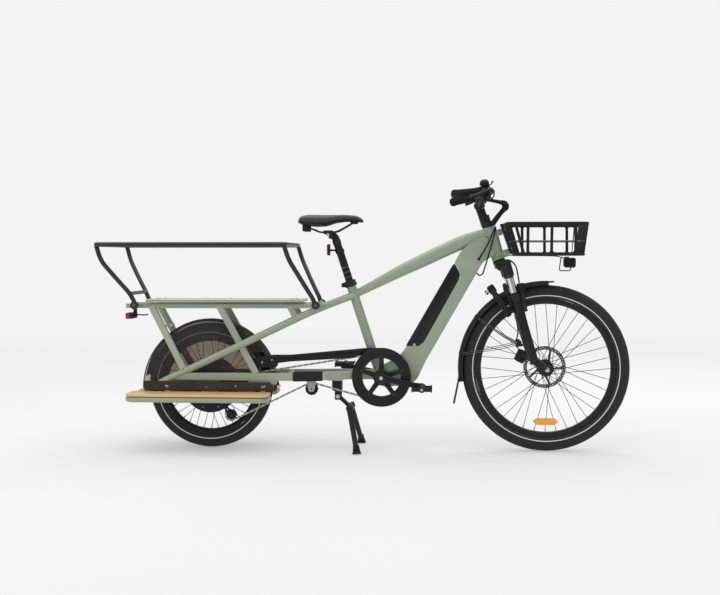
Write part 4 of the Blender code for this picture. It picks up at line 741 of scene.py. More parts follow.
def side_tubes():
    """The long tubes, stays, struts and rack rail of the right side."""
    upper = [at(0.592, -0.010, 0.628), at(0.50, -0.046, 0.594), at(0.40, -0.064, 0.552),
             at(0.122, -STAY_Y, 0.4195), at(-0.122, -STAY_Y, 0.3055), at(-0.300, -STAY_Y, 0.2160)]
    parts = [cut(
        tube(upper, 0.0148, 24, corner=0.06, steps=5),
        box(at(-0.290, -STAY_Y, 0.2195), (0.180, 0.050, 0.040))
    )]
    parts.append(soften(
        plate([(-0.140, 0.3135), (0.345, 0.3155), (0.345, 0.2835), (-0.205, 0.2810)], -STAY_Y, 0.020),
        0.0035
    ))
    parts.append(box_run(STAY_RUN, 0.0096, 0.0162))
    parts.append(box_run(STAY_NECK, 0.0094, 0.0170))
    for top, low in (((-0.233, 0.586), (-0.098, 0.330)), ((0.047, 0.586), (0.200, 0.312))):
        parts.append(oval_bar(at(top[0], -RAIL_Y, top[1]), at(low[0], -STAY_Y, low[1]), 0.0142, 0.0122))
    parts.append(oval_bar(at(0.336, -RAIL_Y, 0.586), at(0.362, -0.066, 0.536), 0.0135, 0.0115))
    rail = [(-0.337, 0.5745), (0.400, 0.5755), (0.480, 0.5860), (0.480, 0.5950), (-0.337, 0.5935)]
    parts.append(soften(plate(rail, -RAIL_Y, 0.018), 0.0035))
    drop = [
        (-0.045, 0.300), (0.055, 0.300), (0.045, 0.248), (0.018, 0.232), (-0.018, 0.232), (-0.040, 0.250)
    ]
    parts.append(plate(rounded(drop, 0.006), -STAY_Y + 0.0029, 0.0072, 0.0008))
    parts.append(plate(
        rounded([(0.166, 0.290), (0.290, 0.290), (0.280, 0.267), (0.170, 0.275)], 0.008), -STAY_Y, 0.0163,
        0.002
    ))
    for x in (-0.165, 0.238):
        parts.append(box(at(x, -STAY_Y, 0.272), (0.024, 0.0172, 0.040), bevel=0.002))
    parts.append(
        plate([(-0.184, 0.292), (-0.135, 0.316), (-0.120, 0.270), (-0.180, 0.262)], -STAY_Y, 0.0141, 0.001)
    )
    return parts


def cross_members():
    parts = [
        rod(at(-0.322, -RAIL_Y, 0.584), at(-0.322, RAIL_Y, 0.584), 0.009),
        rod(at(0.395, -RAIL_Y, 0.585), at(0.395, RAIL_Y, 0.585), 0.009),
        rod(at(0.066, -RAIL_Y, 0.586), at(0.066, RAIL_Y, 0.586), 0.009),
        rod(at(0.330, -STAY_Y, 0.302), at(0.330, STAY_Y, 0.302), 0.012),
        rod(at(0.320, -0.070, 0.517), at(0.320, 0.070, 0.517), 0.011),
        box(at(0.520, 0, 0.287), (0.060, 0.120, 0.008), bevel=0.001),
    ]
    for side in (-1, 1):
        parts.append(
            rod(at(-0.288, side * RAIL_Y, 0.584), at(-0.288, side * 0.1022, 0.588), 0.011, bevel=0.001)
        )
        parts.append(
            rod(at(0.447, side * RAIL_Y, 0.588), at(0.447, side * 0.098, 0.590), 0.012, bevel=0.001)
        )
    return parts


def main_frame():
    head, down, shell = head_and_down_tube()
    parts = [down, head, top_tube(), rod(seat_point(0.300), seat_point(0.683), 0.0190, sides=36), shell]
    for piece in side_tubes():
        parts += both(piece)
    parts += cross_members()
    parts.append(box(at(1.196, 0, 0.796), (0.044, 0.034, 0.030), lean=-HEAD_LEAN, bevel=0.004))
    parts.append(box(at(1.172, 0, 0.880), (0.034, 0.030, 0.026), lean=-HEAD_LEAN, bevel=0.004))
    parts.append(plate(
        rounded([(0.402, 0.2865), (0.444, 0.2865), (0.433, 0.238), (0.413, 0.238)], 0.006), -0.0625, 0.006,
        0.0006
    ))
    solid = join(*parts)
    pocket = [(0.770, 0.4232), (0.8562, 0.4232), (0.8765, 0.4398), (1.0155, 0.6908), (1.0215, 0.7162),
              (0.9985, 0.7592), (0.9740, 0.7680)]
    solid = cut(
        solid, rod(seat_point(0.420), seat_point(0.700), 0.0162, sides=36),
        rod(head_point(-0.01), head_point(HEAD_LENGTH + 0.01), 0.0195, sides=32),
        disc(at(*CRANK_AT), 0.0175, 0.090, 32), plate(pocket, 0, 0.080),
        disc(at(0, 0, REAR_R), 0.0068, 0.30, 24),
        disc(at(IDLER[0], -0.06, IDLER[1]), 0.0040, 0.03, 16))
    show(solid, "frame_tubes", "frame", "sage", "main_frame", crease=28)
    # Weld beads where tubes meet, and the seam above the crank's block.
    seam = tube([at(0.7665, 0.0303, 0.352), at(0.8785, 0.0303, 0.352)], 0.0009, 8)
    show(gather(*both(seam)), "block_seam", "frame", "sage")
    beads = []
    for point, axis, radius in (
        (seat_point(0.640), seat_point(0.7) - seat_point(0.6), 0.0196),
        (head_point(0.004), head_point(0) - head_point(1), 0.0279),
        (head_point(HEAD_LENGTH - 0.004), head_point(0) - head_point(1), 0.0262),
    ):
        turn = facing(axis)
        path = [
            point + (turn @ V(radius * math.cos(a), radius * math.sin(a), 0))
            for a in np.linspace(0, 2 * math.pi, 41)[:-1]
        ]
        beads.append(tube(path, 0.0011, 8, closed=True))
    show(gather(*beads), "weld_beads", "frame", "sage")


def screw_head(centre, direction, radius, height=0.003):
    """A button-head screw with a hexagon socket, standing out along a direction."""
    d = direction.normalized()
    head = rod(centre, centre + d * height, radius, radius * 0.72, 20, bevel=radius * 0.12)
    socket = rod(centre + d * (height * 0.35), centre + d * (height + 0.002), radius * 0.42, sides=6)
    return cut(head, socket)


def rack():
    outline = rounded([(-0.322, -0.086), (0.322, -0.086), (0.322, 0.086), (-0.322, 0.086)], 0.012, 5)
    deck = sheet([outline], 0.0105, Matrix.Translation(at(0.071, 0, 0.606)), 0.0026)
    show(deck, "deck_board", "frame", "deck", "rack_deck")
    bolts = []
    for x in (-0.205, 0.071, 0.345):
        for side in (-1, 1):
            bolts.append(screw_head(at(x, side * RAIL_Y, 0.6108), V(0, 0, 1), 0.0058, 0.0022))
    show(gather(*bolts), "deck_bolts", "frame", "dark_steel")
    for side, tag in ((-1, "R"), (1, "L")):
        board = sheet([
            rounded([(-0.286, -0.062), (0.286, -0.062), (0.286, 0.062), (-0.286, 0.062)], 0.030, 8)
        ],
                      0.009, Matrix.Translation(at(-0.0230, -0.143, 0.234)), 0.0022)
        loop = [at(-0.160, -0.0925, 0.2165), at(-0.304, -0.0925, 0.2165), at(-0.304, -0.194, 0.2165),
                at(0.253, -0.194, 0.2165), at(0.253, -0.0925, 0.2165), at(0.229, -0.0925, 0.2165)]
        rail = tube(loop, 0.0110, 20, corner=0.040, steps=8)
        feet = [box(at(x, -0.0925, 0.242), (0.020, 0.008, 0.048), bevel=0.0012) for x in (-0.160, 0.229)]
        tie = rod(at(0.030, -0.190, 0.2165), at(0.030, -0.0925, 0.2165), 0.0085, sides=20)
        inner = tube([at(-0.160, -0.0925, 0.2165), at(0.229, -0.0925, 0.2165)], 0.0085, 20)
        holder = join(rail, inner, tie, *feet)
        board = cut(board, *[box(at(x, -0.0925, 0.250), (0.0206, 0.0092, 0.062)) for x in (-0.160, 0.229)])
        screws = gather(*[screw_head(at(x, -y, 0.2382), V(0, 0, 1), 0.0050, 0.0016)
                          for x in (-0.215, 0.030, 0.205) for y in (0.118, 0.178)])
        plates = gather(*[screw_head(at(x, -0.0968, z), V(0, -1, 0), 0.0062, 0.0034)
                          for x in (-0.160, 0.229) for z in (0.2585,)])
        if side > 0:
            board, holder, screws, plates = swap(board), swap(holder), swap(screws), swap(plates)
        show(board, "foot_board_" + tag, "frame", "wood", "footboard_" + tag)
        show(holder, "board_frame_" + tag, "frame", "sage", "footboard_frame_" + tag, crease=30)
        show(gather(screws, plates), "board_screws_" + tag, "frame", "steel")


def passenger_rail():
    corners = [
        at(-0.416, -LOOP_Y, LOOP_Z), at(0.336, -LOOP_Y, LOOP_Z), at(0.336, LOOP_Y, LOOP_Z),
        at(-0.416, LOOP_Y, LOOP_Z)
    ]
    parts = [tube(ring_path(corners, 0.040, 8), 0.0092, 20, closed=True)]
    rear = [at(-0.412, -0.216, LOOP_Z - 0.004), at(-0.395, -0.212, 0.768), at(-0.350, -0.165, 0.700),
            at(-0.305, -0.122, 0.636), at(-0.288, -0.1155, 0.600), at(-0.288, -0.1155, 0.578)]
    front = [at(0.334, -0.219, LOOP_Z - 0.003), at(0.352, -0.214, 0.772), at(0.400, -0.150, 0.680),
             at(0.436, -0.113, 0.615), at(0.447, -0.1100, 0.580)]
    parts += both(tube(rear, 0.0092, 20, corner=0.04))
    parts += both(tube(front, 0.0092, 20, corner=0.04))
    parts.append(rod(at(-0.303, -0.118, 0.636), at(-0.303, 0.118, 0.636), 0.0075, sides=20))
    for x, z in ((-0.288, 0.588), (0.447, 0.590)):
        parts += both(disc(at(x, -0.1145, z), 0.0165, 0.019, 32, bevel=0.002))
    show(join(*parts), "rail_hoop", "frame", "rail", "passenger_rail")
    caps = []
    for side in (-1, 1):
        for x, z in ((-0.288, 0.588), (0.447, 0.590)):
            caps.append(screw_head(at(x, side * 0.1238, z), V(0, side, 0), 0.0085, 0.0045))
    show(gather(*caps), "rail_bolts", "frame", "dark_steel")


def battery():
    outline = [(0.8120, 0.4240), (0.8555, 0.4240), (0.8757, 0.4403), (1.0145, 0.6910), (1.0205, 0.7160),
               (0.9985, 0.7570), (0.9900, 0.7480), (0.8040, 0.4240)]
    pack = soften(plate(rounded(outline, 0.007, 4), 0, 0.0612), 0.0045, 50, 3)
    grooves = []
    a, b = at(0.842, 0, 0.424), at(1.006, 0, 0.7065)
    for side in (-1, 1):
        grooves.append(
            tube([a + V(-0.006, side * 0.0307, 0.010), b + V(-0.006, side * 0.0307, -0.004)], 0.0009, 8)
        )
    lid = at(0.833, 0, 0.432)
    grooves.append(box(lid + V(0.004, 0, 0.0115), (0.070, 0.0700, 0.0010), lean=0.0))
    pack = cut(pack, *grooves)
    show(pack, "battery_case", "battery_pack", "gloss", "battery")
    lock = disc(at(0.838, -0.0306, 0.4285), 0.0058, 0.0016, 24, bevel=0.0003)
    key = cut(lock, box(at(0.838, -0.0316, 0.4285), (0.0012, 0.0030, 0.0060)))
    show(key, "battery_lock", "battery_pack", "steel")


def stay_sleeve():
    sleeve = box_run((along_run(0.10), along_run(0.90)), 0.0125, 0.0190, 0.0035)
    inner = lofted([[
        at(*along_run(s)) + V(0, y * 0.0099, z * 0.0165) for y, z in ((-1, -1), (1, -1), (1, 1), (-1, 1))
    ]
                    for s in (-0.1, 1.1)])
    window = box(at(0.423, -0.0600, 0.276), (0.0440, 0.0130, 0.0220))
    show(cut(sleeve, inner, window), "stay_sleeve", "frame", "rubber", "stay_guard")


def seat_clamp():
    slope = (seat_point(0.70) - seat_point(0.60)).normalized()
    middle = seat_point(0.672)
    ring = rod(middle - slope * 0.010, middle + slope * 0.0155, 0.0245, sides=40, bevel=0.0022)
    ears = box(middle + V(-0.028, 0, -0.004), (0.018, 0.018, 0.018), bevel=0.003)
    solid = cut(join(ring, ears), rod(middle - slope * 0.03, middle + slope * 0.0125, 0.0193, sides=36))
    solid = cut(solid, rod(middle, middle + slope * 0.04, 0.0166, sides=36))
    show(solid, "clamp_collar", "frame", "black", "seat_clamp")
    pivot = middle + V(-0.030, -0.0150, -0.004)
    arm = [
        pivot, pivot + V(0.012, -0.012, 0.004), pivot + V(0.034, -0.0165, 0.007),
        pivot + V(0.058, -0.018, 0.008)
    ]
    blade = tube(arm, 0.0045, 20, corner=0.012, radii=lambda t: 0.75 + 0.45 * t)
    boss = rod(pivot - V(0, 0, 0.007), pivot + V(0, 0, 0.007), 0.0055, sides=24, bevel=0.0008)
    show(join(blade, boss), "clamp_lever", "seat_lever", "black", "seat_clamp_lever")


def skirts():
    """Smoked side panels with a black bead along their arched edge and a dark band below the stay."""
    places = []
    for side, tag in ((-1, "R"), (1, "L")):
        edge = [
            (SKIRT_R * math.cos(a), REAR_R + SKIRT_R * math.sin(a))
            for a in np.radians(np.linspace(186, 14, 97))
        ]
        front = [(0.262, 0.262), (0.240, 0.245)]
        if side < 0:
            edge = [p for p in edge if p[0] < 0.190 or p[1] > 0.395]
            front = [(0.184, 0.392), (0.184, 0.245)]
        lean = Matrix.Identity(4)
        lean[1][2] = -0.091 * side
        put = Matrix.Translation((0, side * 0.0836, 0)) @ lean
        panel = plate(edge + front, 0, 0.0018)
        panel.data.transform(put)
        panel = cut(panel, box(at(0, side * 0.0600, 0.262), (0.060, 0.040, 0.060)))
        show(panel, "skirt_sheet_" + tag, "frame", "smoke", "wheel_skirt_" + tag)
        inward = [(x * 0.9865, REAR_R + (z - REAR_R) * 0.9865) for x, z in edge]
        band = plate(edge + inward[::-1], 0, 0.0026)
        band.data.transform(put)
        show(band, "skirt_bead_" + tag, "frame", "plastic")
        seam = tube(
            [at(x, 0, z) for x, z in ((-0.238, 0.3485), (-0.200, 0.3485), (-0.150, 0.3485))], 0.0008, 8
        )
        upright_seam = tube([at(0.0435, 0, 0.521), at(0.0435, 0, 0.440)], 0.0008, 8)
        pin = disc(at(-0.1866, 0, 0.3485), 0.0042, 0.005, 20, bevel=0.0012)
        low = rounded([(-0.2560, 0.2820), (0.262, 0.2785), (0.270, 0.2440), (-0.2560, 0.2440)], 0.004)
        show(soften(plate(low, side * 0.0985, 0.0020), 0.0005), "skirt_band_" + tag, "frame", "brown")
        for x in (-0.165, 0.120, 0.238):
            places.append(screw_head(at(x, side * 0.0996, 0.2620), V(0, side, 0), 0.0042, 0.0020))
        trim = gather(seam, upright_seam, pin)
        trim.data.transform(Matrix.Translation((0, side * 0.0012, 0)) @ put)
        show(trim, "skirt_fixings_" + tag, "frame", "plastic")
    show(gather(*places), "skirt_screws", "frame", "steel")


def rear_mudguard():
    rows = []
    for i in range(15):
        y = (2 * i / 14 - 1) * 0.032
        rows.append((0.2740 - 0.009 * (2 * y / 0.064) ** 2, y))
    inner = [(r - 0.0022, y * 0.93) for r, y in rows]
    shell = turned(rows + inner[::-1], at(0, 0, REAR_R), 90, math.radians(-4.5), math.radians(176.5))
    show(shell, "rear_mudguard", "frame", "plastic", "rear_fender")
    tabs = gather(
        *both(box(at(-0.176, -0.0560, 0.5010), (0.018, 0.0050, 0.013), lean=math.radians(-28), bevel=0.001))
    )
    show(tabs, "mudguard_tabs", "frame", "steel")


def chain_cover():
    outline = [(0.192, 0.376), (0.262, 0.3855), (0.337, 0.386), (0.636, 0.4145), (0.613, 0.388),
               (0.594, 0.3765), (0.554, 0.3735), (0.337, 0.360), (0.284, 0.353), (0.282, 0.337),
               (0.196, 0.334)]
    cover = soften(plate(rounded(outline, 0.006, 4), -0.0495, 0.027), 0.0028, 50, 3)
    groove = plate(
        [(0.200, 0.300), (0.200, 0.366), (0.340, 0.381), (0.620, 0.408), (0.640, 0.300)], -0.0480, 0.0180
    )
    rib = tube([at(0.300, -0.0632, 0.3722), at(0.600, -0.0632, 0.3990)], 0.0010, 8)
    solid = cut(cover, groove, rib)
    show(solid, "chain_case", "frame", "plastic", "chain_cover")
    hood = rounded([
        (0.596, 0.378), (0.596, 0.4105), (0.640, 0.4148), (0.700, 0.4160), (0.752, 0.4070), (0.740, 0.3860),
        (0.655, 0.3800)
    ], 0.006)
    show(soften(plate(hood, -0.0372, 0.0026), 0.0007), "case_hood", "frame", "plastic")
    show(gather(screw_head(at(0.222, -0.0628, 0.356), V(0, -1, 0), 0.0046, 0.0022),
                screw_head(
                    at(0.262, -0.0628, 0.366), V(0, -1, 0), 0.0040, 0.0018
                )), "case_screws", "frame", "steel")


def rear_lamp():
    shell = soften(join(box(at(-0.323, 0, 0.5410), (0.012, 0.078, 0.024), bevel=0.004),
                        box(at(-0.317, 0, 0.553), (0.012, 0.020, 0.034), bevel=0.002)), 0.0008, 60)
    show(shell, "rear_lamp_shell", "frame", "plastic", "rear_light")
    show(
        box(at(-0.3385, 0, 0.5410), (0.0185, 0.086, 0.027), bevel=0.006, segments=5), "rear_lamp_lens",
        "frame", "red"
    )
    cable = smooth_path([
        at(-0.318, -0.006, 0.543), at(-0.296, -0.020, 0.545), at(-0.268, -0.044, 0.5455),
        at(-0.250, -0.055, 0.548)
    ], 24)
    show(tube(cable, 0.0027, 12), "rear_lamp_cable", "frame", "rubber")


main_frame()
rack()
passenger_rail()
battery()
stay_sleeve()
seat_clamp()
skirts()
rear_mudguard()
chain_cover()
rear_lamp()


# ---------------------------------------------------------------- wheels


def tyre_profile(radius, width, rim_outer):
    """A tyre's section from bead to bead, as (radius, y)."""
    h = width / 2
    profile = []
    for degrees in np.linspace(-128, 128, 33):
        a = math.radians(degrees)
        y = h * math.sin(a)
        if abs(degrees) > 100:
            y = math.copysign(max(abs(y), h * 0.60), y)
        profile.append((radius - h * 0.98 + h * 0.98 * math.cos(a), y))
    low = min(p[0] for p in profile)
    return [(rim_outer + (r - low) * (radius - rim_outer) / (radius - low), y) for r, y in profile]


def tyre(name, body, node, x, radius, width, rim_outer, knobs):
    """A tyre whose tread blocks come from ripples along and across its crown."""
    h = width / 2
    profile = tyre_profile(radius, width, rim_outer)

    def tread(radius_here, y, angle):
        depth = 0.0
        across = abs(y) / h
        if 0.10 < across < 0.72 and radius_here > radius - 0.016:
            wave = math.sin(knobs * angle + (3.2 if y > 0 else 0) + across * 5.0)
            depth = -0.0011 if wave > 0.55 else 0.0
        if 0.06 < across < 0.12:
            depth = -0.0010
        return depth

    show(turned(profile, at(x, 0, radius), 288, ripple=tread), name, body, "tyre", node, crease=50)


def side_line(name, body, x, radius, width, rim_outer, line_r):
    """The pale reflecting band round both sidewalls, lying on the tyre's surface."""
    half = tyre_profile(radius, width, rim_outer)[16:]
    outward = [p[0] for p in half][::-1]
    wide = [p[1] for p in half][::-1]
    pieces = []
    for side in (-1, 1):
        rows = []
        for lift in (-0.0003, 0.0006):
            row = [
                (r, side * (float(np.interp(r, outward, wide)) + lift))
                for r in np.linspace(line_r - 0.0019, line_r + 0.0019, 4)
            ]
            rows += row if lift < 0 else row[::-1]
        if side > 0:
            rows = rows[::-1]
        pieces.append(turned(rows, at(x, 0, radius), 144))
    show(gather(*pieces), name, body, "line")


def rim(name, body, node, x, axle_z, rim_in, rim_outer, width):
    h = width / 2
    section = [
        (rim_in, -h * 0.42), (rim_in + 0.0025, -h * 0.70), (rim_in + 0.010, -h * 0.97),
        (rim_in + 0.0125, -h),
        (rim_outer - 0.001, -h), (rim_outer, -h * 0.93), (rim_outer, h * 0.93), (rim_outer - 0.001, h),
        (rim_in + 0.0125, h), (rim_in + 0.010, h * 0.97), (rim_in + 0.0025, h * 0.70), (rim_in, h * 0.42),
    ]
    show(turned(section, at(x, 0, axle_z), 160), name, body, "black", node, crease=25)


def spoke_set(x, axle_z, flange_r, flange_y, rim_in, cross):
    wires = []
    nipples = []
    for i in range(36):
        side = 1 if i % 2 else -1
        a = 2 * math.pi * i / 36
        trailing = (i // 2) % 2
        lead = cross if trailing else -cross
        y = side * (flange_y + (0.0021 if trailing else -0.0021))
        foot = at(x + flange_r * math.cos(a + lead), y, axle_z + flange_r * math.sin(a + lead))
        tip = at(
            x + (rim_in - 0.0013) * math.cos(a), side * 0.002, axle_z + (rim_in - 0.0013) * math.sin(a)
        )
        run = (tip - foot).normalized()
        wires.append(rod(foot, tip, 0.00120, sides=8))
        wires.append(rod(foot - V(0, side * 0.0022, 0), foot + V(0, side * 0.0022, 0), 0.0019, sides=8))
        nipples.append(rod(tip - run * 0.0125, tip, 0.0019, 0.0026, sides=8))
    return gather(*wires), gather(*nipples)


def rotor(name, body, node, centre, y, inner, outer):
    """A drilled brake disc with a waved edge on five curved arms."""
    middle = centre + V(0, y, 0)
    edge = []
    for i in range(240):
        a = 2 * math.pi * i / 240
        r = outer - 0.0009 * max(0.0, math.sin(a * 20)) ** 2
        edge.append((r * math.cos(a), r * math.sin(a)))
    openings = []
    band = outer - 0.0150
    for i in range(5):
        a = 2 * math.pi * i / 5
        shape = []
        for k in range(9):
            t = a + 0.05 + 1.12 * k / 8
            shape.append((band * math.cos(t), band * math.sin(t)))
        for k in range(9):
            t = a + 0.86 - 0.96 * k / 8
            shape.append((0.0320 * math.cos(t), 0.0320 * math.sin(t)))
        openings.append(shape)
    for i in range(45):
        a = 2 * math.pi * i / 45
        r = outer - 0.0045 - 0.0032 * (i % 3)
        openings.append([(r * math.cos(a) + 0.0017 * math.cos(t), r * math.sin(a) + 0.0017 * math.sin(t))
                         for t in np.linspace(0, 2 * math.pi, 11)[:-1]])
    openings.append(
        [(inner * math.cos(t), inner * math.sin(t)) for t in np.linspace(0, 2 * math.pi, 41)[:-1]]
    )
    made = sheet(
        [edge] + openings, 0.0019, Matrix.Translation(middle) @ Matrix.Rotation(math.pi / 2, 4, "X"), 0.0
    )
    show(made, name, body, "dark_steel", node, crease=30)
    bolts = [screw_head(
        middle + V(0.022 * math.cos(a), 0.0012, 0.022 * math.sin(a)), V(0, 1, 0), 0.0032, 0.0020
    )
             for a in np.linspace(0, 2 * math.pi, 7)[:-1]] if inner < 0.02 else []
    if bolts:
        show(gather(*bolts), name + "_bolts", body, "dark_steel")


def front_wheel():
    x, body = WHEELBASE, "front_wheel"
    tyre("front_tyre_tread", body, "front_tyre", x, FRONT_R, 0.054, 0.2821, 96)
    side_line("front_tyre_line", body, x, FRONT_R, 0.054, 0.2821, 0.2935)
    rim("front_rim_profile", body, "front_rim", x, FRONT_R, FRONT_RIM_IN, 0.2815, 0.030)
    hub = turned([
        (0.0063, -0.0455), (0.0110, -0.0455), (0.0125, -0.0440), (0.0130, -0.0370), (0.0150, -0.0355),
        (0.0300, -0.0338),
        (0.0310, -0.0325), (0.0310, -0.0275), (0.0300, -0.0262), (0.0190, -0.0240), (0.0160, -0.0200),
        (0.0150, 0.0),
        (0.0160, 0.0200), (0.0190, 0.0240), (0.0300, 0.0262), (0.0310, 0.0275), (0.0310, 0.0325),
        (0.0300, 0.0338),
        (0.0225, 0.0350), (0.0220, 0.0376), (0.0130, 0.0380), (0.0130, 0.0455), (0.0063, 0.0455),
    ], at(x, 0, FRONT_R), 72)
    show(hub, "front_hub_shell", body, "black", "front_hub", crease=25)
    wires, nipples = spoke_set(x, FRONT_R, 0.028, 0.0300, FRONT_RIM_IN, 0.9)
    show(wires, "front_spokes", body, "black")
    show(nipples, "front_nipples", body, "steel")
    rotor("front_disc_drilled", body, "front_disc", at(x, 0, FRONT_R), 0.0392, 0.0140, 0.086)
    shape = rounded([
        (1.312, 0.1195), (1.330, 0.1330), (1.402, 0.1330), (1.419, 0.1195), (1.402, 0.1060), (1.330, 0.1060)
    ], 0.012, 5)
    show(soften(plate(shape, -0.0135, 0.0060), 0.0020, 40, 3), "spoke_reflector", body, "amber")
    valve = at(x, 0, FRONT_R) + V(math.cos(2.0), 0, math.sin(2.0)) * 0.259
    inward = V(-math.cos(2.0), 0, -math.sin(2.0))
    show(join(
        rod(valve, valve + inward * 0.030, 0.0028, sides=16),
        rod(valve + inward * 0.018, valve + inward * 0.032, 0.0040, 0.0034, 16)
    ),
         "front_valve", body, "rubber")


def rear_wheel():
    body = "rear_wheel"
    tyre("rear_tyre_tread", body, "rear_tyre", 0, REAR_R, 0.053, 0.2036, 76)
    side_line("rear_tyre_line", body, 0, REAR_R, 0.053, 0.2036, 0.2186)
    rim("rear_rim_profile", body, "rear_rim", 0, REAR_R, REAR_RIM_IN, 0.2030, 0.032)
    section = [
        (0.0078, -0.0300), (0.0240, -0.0300), (0.0255, -0.0290), (0.0600, -0.0282), (0.0640, -0.0290),
        (0.0900, -0.0278),
        (0.1060, -0.0262), (0.1120, -0.0240), (0.1130, -0.0225), (0.1130, -0.0135), (0.1120, -0.0122),
        (0.1010, -0.0100),
        (0.1000, -0.0080), (0.1000, 0.0080), (0.1010, 0.0100), (0.1120, 0.0122), (0.1130, 0.0135),
        (0.1130, 0.0225),
        (0.1120, 0.0245), (0.1040, 0.0280), (0.0600, 0.0295), (0.0260, 0.0306), (0.0245, 0.0330),
        (0.0240, 0.0465),
        (0.0228, 0.0470), (0.0078, 0.0470),
    ]

    def ribs(radius, y, angle):
        return 0.0006 * math.sin(angle * 48) if radius > 0.1125 else 0.0

    show(
        turned(section, at(0, 0, REAR_R), 192, ripple=ribs), "motor_shell", body, "black", "rear_hub_motor",
        crease=25
    )
    screws = [screw_head(
        at(0.094 * math.cos(a), -0.0276, REAR_R + 0.094 * math.sin(a)), V(0, -1, 0), 0.0030, 0.0016
    )
              for a in np.linspace(0.2, 2 * math.pi + 0.2, 10)[:-1]]
    show(gather(*screws), "motor_screws", body, "steel")
    wires, nipples = spoke_set(0, REAR_R, 0.110, 0.0185, REAR_RIM_IN, 0.09)
    show(wires, "rear_spokes", body, "black")
    show(nipples, "rear_nipples", body, "steel")
    rotor("rear_disc_drilled", body, "rear_disc", at(0, 0, REAR_R), 0.0455, 0.0262, 0.086)


def rear_axle():
    centre = at(0, 0, REAR_R)
    rod_part = disc(centre, 0.0062, 0.202, 28, bevel=0.0008)
    nuts = []
    for side in (-1, 1):
        place = centre + V(0, side * 0.0878, 0)
        nuts.append(disc(place, 0.0118, 0.0150, 6, bevel=0.0012))
        nuts.append(disc(centre + V(0, side * 0.0803, 0), 0.0140, 0.0016, 32))
    show(gather(rod_part, *nuts), "axle_and_nuts", "frame", "dark_steel", "rear_axle", crease=30)


# ---------------------------------------------------------------- chain drive


def toothed(centre, y, teeth, width, bore, tip_extra=0.0034, root_less=0.0036, openings=()):
    """A sprocket plate: rounded roots between short teeth, and openings through it."""
    r = pitch_radius(teeth)
    edge = []
    for i in range(teeth):
        a = 2 * math.pi * i / teeth
        half = math.pi / teeth
        for share, radius in ((-0.95, r - root_less * 0.35), (-0.62, r + tip_extra * 0.3),
                              (-0.30, r + tip_extra), (0.30, r + tip_extra),
                              (0.62, r + tip_extra * 0.3), (0.95, r - root_less * 0.35),
                              (1.0, r - root_less)):
            edge.append((radius * math.cos(a + share * half), radius * math.sin(a + share * half)))
    holes = [[(bore * math.cos(t), bore * math.sin(t)) for t in np.linspace(0, 2 * math.pi, 37)[:-1]]]
    turn = Matrix.Translation(at(centre[0], y, centre[1])) @ Matrix.Rotation(math.pi / 2, 4, "X")
    return sheet([edge] + holes + list(openings), width, turn, 0.0)


def cassette():
    parts = []
    for i, teeth in enumerate((11, 13, 15, 18, 21)):
        parts.append(
            toothed((0, REAR_R), -0.0480 + i * 0.0028, teeth, 0.0017, 0.0125 if i else 0.0105, 0.0030)
        )
    core = turned(
        [(0.0092, -0.0520), (0.0155, -0.0520), (0.0165, -0.0500), (0.0165, -0.0325), (0.0092, -0.0325)],
        at(0, 0, REAR_R), 48
    )
    show(gather(core, *parts), "sprocket_stack", "sprockets", "steel", "cassette", crease=25)


def path_walk(points, step):
    """Even steps along a closed run of points."""
    lengths = [0.0]
    loop = points + points[:1]
    for a, b in zip(loop, loop[1:]):
        lengths.append(lengths[-1] + (b - a).length)
    count = 2 * round(lengths[-1] / step / 2)
    placed = []
    k = 0
    for i in range(count):
        want = lengths[-1] * i / count
        while lengths[k + 1] < want:
            k += 1
        share = (want - lengths[k]) / max(1e-9, lengths[k + 1] - lengths[k])
        placed.append(loop[k].lerp(loop[k + 1], share))
    return placed


def chain_line():
    """The chain's centre line over its five wheels."""
    wheels = [
        (CRANK, pitch_radius(48), 1), ((0.0, REAR_R), pitch_radius(11), 1), (GUIDE, pitch_radius(11), -1),
        (TENSION, pitch_radius(11), 1), (IDLER, pitch_radius(12), -1),
    ]
    headings = []
    for i, (c, r, s) in enumerate(wheels):
        d, q, t = wheels[(i + 1) % 5]
        line = Vector((d[0] - c[0], d[1] - c[1]))
        headings.append(math.atan2(line.y, line.x) + math.asin((s * r - t * q) / line.length))
    path = []
    for i, (c, r, s) in enumerate(wheels):
        turn = (s * (headings[i] - headings[i - 1])) % (2 * math.pi)
        steps = max(1, round(turn / math.radians(4)))
        for k in range(steps + 1):
            a = headings[i - 1] + s * turn * k / steps
            path.append(at(c[0] + s * r * math.sin(a), CHAIN_Y, c[1] - s * r * math.cos(a)))
    return path


def chain():
    """Rollers, pins and two kinds of side plate, link by link."""
    pins = path_walk(chain_line(), PITCH)
    outers, inners = [], []
    for i, here in enumerate(pins):
        there = pins[(i + 1) % len(pins)]
        run = (there - here).normalized()
        outer = i % 2 == 0
        shape = []
        radius = 0.0041
        for k in range(13):
            a = math.radians(90 + 180 * k / 12)
            shape.append((radius * math.cos(a), radius * math.sin(a)))
        shape.append((PITCH / 2, -0.0029))
        for k in range(13):
            a = math.radians(-90 + 180 * k / 12)
            shape.append((PITCH + radius * math.cos(a), radius * math.sin(a)))
        shape.append((PITCH / 2, 0.0029))
        up = run.cross(V(0, 1, 0))
        lay = Matrix((
            (run.x, up.x, 0, here.x), (run.y, up.y, 1, here.y), (run.z, up.z, 0, here.z), (0, 0, 0, 1)))
        lift = 0.0031 if outer else 0.0020
        for side in (-1, 1):
            made = sheet([shape], 0.0009, lay @ Matrix.Translation((0, 0, side * lift)), 0.0)
            (outers if outer else inners).append(made)
        inners.append(disc(here, 0.0038, 0.0036, 14))
        outers.append(disc(here, 0.0018, 0.0076, 10))
    show(gather(*outers), "chain_outer_links", "frame", "chain", "chain")
    show(gather(*inners), "chain_inner_links", "frame", "steel")


